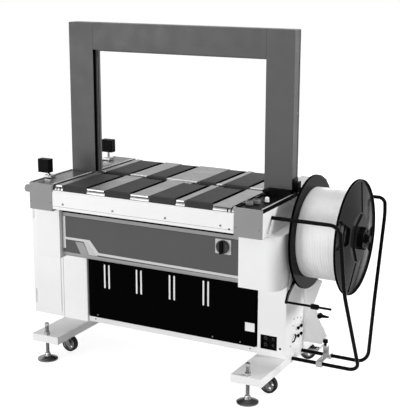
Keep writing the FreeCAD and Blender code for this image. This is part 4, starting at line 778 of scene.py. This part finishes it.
def plate_nose_highlights():
    """Painted highlight: near-white steel strips on the front edges of the rear row of bed plates."""
    build = Build()
    side, front, back, down, up = 1, 0.5, 8, 0.2, 0.5
    for low, high in plate_boxes:
        if low.y > MIDDLE:
            build.box((low.x + side, low.y + front, bed_top - down),
                      (high.x - side, low.y + back, bed_top + up))
    build.piece("plate_nose_highlights", nose_highlight_steel, "frame", "steel")


def reel_slot_shade():
    """Painted shade: a dark disc just inside the outer flange, so that its slots show dark instead of the
    coil.
    """
    build = Build()
    inner, outer, thick, before, segments = 101, 236, 0.9, 1.1, 96
    outline = [(inner, 0), (outer, 0), (outer, thick), (inner, thick)]
    build.lathe(outline, at(flange_face - before, *REEL_AXIS), X, segments, closed=True)
    build.piece("reel_slot_shade", gloss_black, "reel", "black_plastic")


def pool_windows():
    """Milky windows let into the slots of the strap pool."""
    build = Build()
    pairs, apart = (-326.5, -155, 16.5, 186.5), 11.75
    bottom, top, width, let_in, thick = 295.15, 409.85, 8.2, 1.7, 1.3
    for pair in pairs:
        for x in (pair - apart, pair + apart):
            build.plate(stadium(x, pool_low.y + let_in, bottom, top, width), SOFT_EDGE, (0, -thick, 0))
            build.plate(stadium(x, pool_high.y - let_in, bottom, top, width), SOFT_EDGE, (0, thick, 0))
    build.piece("pool_windows", white_plastic, "frame", "white_strap")


def cover_screws():
    """Small screws that hold the covers."""
    build = Build()
    front_and_rear = (
        ((-385, -129.5, 125.5, 380), apron_low.y, 739.5, 5.2, 2),
        ((-551, -449, 449, 551), 0, 740, 3.4, 1.6),
        ((-380, 221, 356), pool_low.y, 159, 3.6, 1.8))
    for across, y, z, radius, height in front_and_rear:
        for x in across:
            build.screw((x, y, z), FRONT, radius, height)
            build.screw((x, TABLE_DEPTH - y, z), REAR, radius, height)
    for x in (-399, 399):
        build.screw((x, 258, 133), FRONT, 3.6, 1.8)
    small = (3.2, 1.6)
    for y, z in ((332, 274), (370, 268), (409, 256), (324, 245), (301, 159)):
        build.screw((column_side, y, z), X, *small)
    for y, z in ((365, 1155), (357, 932), (335, 932), (335, 1240), (365, 1400)):
        build.screw((arch_far.x, y, z), X, *small)
        build.screw((arch_near.x, y, z), -X, *small)
    flat = (4, 0.7)
    for x in (-62, -20, 30, 72):
        for y in (400, 520, 650):
            build.screw((x, y, bed_top), Z, *flat)
    sunk = 0.1
    for y in (60, 640):
        build.screw((cover_low.x + sunk, y, 718), -X, *small)
        build.screw((cover_high.x - sunk, y, 718), X, *small)
    build.piece("cover_screws", pad_steel, "frame", "zinc")


def column_fittings():
    """Four black knobs and a bow handle on the right column's side, and two black screws in front."""
    build = Build()
    knob = [(AXIS_RADIUS, 0), (4, 0), (4, 3), (7.5, 4), (8, 6), (7.4, 9), (5.5, 10.5), (AXIS_RADIUS, 11)]
    for y in (371, 405):
        for z in (186, 222):
            build.lathe(knob, at(column_side, y, z), X, 18)
    bow = ((0, 346, 199), (6, 341, 199), (9.5, 332, 195), (10, 324, 187), (8, 321, 178), (0, 320, 171))
    build.bead([(column_side + out, y, z) for out, y, z in bow], radius=3)
    build.screw((544.5, pool_low.y, 160.8), FRONT, 5, 3)
    # Painted shade: a black screw head where the apron has a small dark slot
    build.screw((419, apron_low.y, 729), FRONT, 4, 1.2)
    build.piece("column_fittings", black_plastic, "frame", "black_plastic")


def bare_plate():
    """A pale plate on the lower front panel."""
    build = Build()
    left, right, bottom, top, corner, thick = 378.5, 424, 215, 254, 2, 1.2
    outline = rounded_box(left, right, pool_low.y, bottom, top, corner)
    build.plate(outline, ((0, 0), (0.6, 0), (1, 0.6)), (0, -thick, 0))
    build.piece("bare_plate", white_plastic, "frame", "white_paint")


def door_accents():
    """Slanting painted bands beside the swept stripe, the band along the top, and painted shade lines by
    that band.
    """
    face = door_low.y
    thin_edge = ((0, 0), (1, 0.2))
    for name, material, slot, thick, outline in (
            ("door_accent_light", light_accent_and_highlight, "light_grey_paint", 0.9,
             ((-325, 564.2), (-303.5, 564.2), (-257.6, 512.3), (-252, 507), (-298, 507))),
            ("door_accent_mid", band_grey, "grey_paint", 0.7,
             ((-370, 559), (-327, 559), (-299, 505.6), (-342, 505.6)))):
        build = Build()
        build.plate([(x, face, z) for x, z in outline], thin_edge, (0, -thick, 0))
        build.piece(name, material, "front_door", slot)
    left, right = door_low.x + 9, door_high.x - 9
    band_bottom, band_top = 671, 687
    back, line_front, band_front = face - 0.7, face - 1.5, face - 1.4
    # Painted shade: black lines under the apron's edge and below the top band
    lines = Build()
    for z0, z1 in ((band_bottom - 1.5, band_bottom), (band_top, door_high.z - 0.5)):
        lines.box((left, line_front, z0), (right, back, z1))
    lines.piece("door_top_shade_lines", panel_black, "front_door", "black_paint")
    band = Build()
    band.box((left, band_front, band_bottom), (right, back, band_top))
    band.piece("door_top_band", trim_mid, "front_door", "grey_paint")


def deck_edges():
    """Light rails along the left deck's inner edge, and pale beads on the side covers' top: painted
    highlight.
    """
    build = Build()
    end, arch_gap = 2, 2
    front, rear = cover_low.y + end, cover_high.y - end
    for y0, y1 in ((front, arch_near.y - arch_gap), (arch_far.y + arch_gap, rear)):
        build.box((-447, y0, 820), (-440.3, y1, 822.4), edge=0.5)
    inset, up, radius = 0.8, 0.4, 1.3
    # Painted highlight: pale beads for the light line along the top edge of each side cover
    for x in (cover_low.x + inset, cover_high.x - inset):
        build.bead([(x, front, cover_high.z + up), (x, rear, cover_high.z + up)], radius)
    build.piece("deck_rails_and_edge_highlights", light_accent_and_highlight, "frame", "light_grey_paint")


def arch_seams():
    """Joints of the arch's covers: a rear strip on either outer side and two lines over the opening."""
    seams, strips = Build(), Build()
    proud = 0.4
    front, rear = arch_near.y, arch_far.y
    for side in (-1, 1):
        x0, x1 = sorted(side * (arch_far.x + shift) for shift in (-proud, proud))
        seams.box((x0, 366, 835), (x1, 379, 1494))
        x0, x1 = sorted(side * (opening.x + shift) for shift in (-proud, proud))
        for y0, y1 in ((front - 0.3, front + 0.2), (rear - 0.2, rear + 0.3)):
            seams.box((x0, y0, opening.z + 0.5), (x1, y1, 1495))
        x0, x1 = sorted(side * (opening.x + shift) for shift in (-0.8, 0.2))
        strips.box((x0, 322, 824), (x1, 341.8, opening.z - 1))
    seams.piece("arch_seams", seam_grey, "frame", "grey_paint")
    strips.piece("arch_inner_strips", panel_black, "frame", "black_plastic")


def apron_crease_shades():
    """Painted shade: a grey bead along the crease above each apron's foot."""
    build = Build()
    half, sunk, level, radius, sides = 437, 0.2, 726.5, 0.8, 8
    for y in (apron_low.y + sunk, apron_high.y - sunk):
        build.bead([(-half, y, level), (half, y, level)], radius, sides)
    build.piece("apron_crease_shades", cap_grey, "frame", "light_grey_paint")


for make in (belt_gap_shades, plate_nose_highlights, reel_slot_shade, pool_windows, cover_screws, column_fittings, bare_plate,
             door_accents, deck_edges, arch_seams, apron_crease_shades):
    make()


# Floor, backdrop and light
def shows_background(tree):
    """1 for a ray straight from the camera, off a glossy face or through glass, and 0 for light."""
    path = tree.nodes.new("ShaderNodeLightPath")
    seen = path.outputs["Is Camera Ray"]
    for kind in ("Is Glossy Ray", "Is Transmission Ray"):
        either = tree.nodes.new("ShaderNodeMath")
        either.operation = "MAXIMUM"
        tree.links.new(seen, either.inputs[0])
        tree.links.new(path.outputs[kind], either.inputs[1])
        seen = either.outputs["Value"]
    return seen


def floor_paper(level, glow):
    made = Shader("floor_paper", grey(level), roughness=0.8)
    made.mottle(made.span(made.noise(scale=3), 0, 1), spread=0.01)
    made.bsdf.inputs["Emission Color"].default_value = (1, 1, 1, 1)
    shown = made.math("MULTIPLY", shows_background(made.tree), glow)
    made.join(shown, made.bsdf.inputs["Emission Strength"])
    return made.material


FLOOR_HALF = 14
FLOOR_LEVEL, FLOOR_GLOW = 0.4, 0.82
floor_corners = [(x * FLOOR_HALF, y * FLOOR_HALF, 0) for x, y in ((-1, -1), (1, -1), (1, 1), (-1, 1))]
floor = mesh_piece("floor", floor_corners, [(0, 1, 2, 3)], floor_paper(FLOOR_LEVEL, FLOOR_GLOW), None)

WORLD_LIGHT = 0.3
world = bpy.data.worlds.new("studio")
bpy.context.scene.world = world
world.use_nodes = True
tree = world.node_tree
strength = tree.nodes.new("ShaderNodeMapRange")
strength.inputs["To Min"].default_value = WORLD_LIGHT
strength.inputs["To Max"].default_value = 1.0
tree.links.new(shows_background(tree), strength.inputs["Value"])
tree.links.new(strength.outputs["Result"], tree.nodes["Background"].inputs["Strength"])
tree.nodes["Background"].inputs["Color"].default_value = (1, 1, 1, 1)


def softbox(name, place, target, size, power):
    """A square lamp; place, target and size are in metres."""
    light = bpy.data.lights.new(name, "AREA")
    light.shape = "RECTANGLE"
    light.size = light.size_y = size
    light.energy = power
    lamp = bpy.data.objects.new(name, light)
    bpy.context.scene.collection.objects.link(lamp)
    lamp.location = place
    lamp.rotation_euler = (Vector(target) - Vector(place)).to_track_quat("-Z", "Y").to_euler()


softbox("key", place=(-4.2, -6.8, 1.5), target=(0, 0, 0.75), size=3.0, power=295)
softbox("right", place=(4.4, 0.9, 2.3), target=(0.4, 0, 0.75), size=0.9, power=145)
softbox("top", place=(0, 0, 4.2), target=(0, 0, 0.8), size=2.2, power=48)
softbox("front", place=(1.7, -6.4, 1.0), target=(0, 0, 0.7), size=2.4, power=106)
softbox("left", place=(-4.2, 0.6, 1.6), target=(0, 0, 0.7), size=2, power=30)
softbox("rear", place=(0, 4.6, 1.8), target=(0, 0, 0.7), size=2.4, power=70)
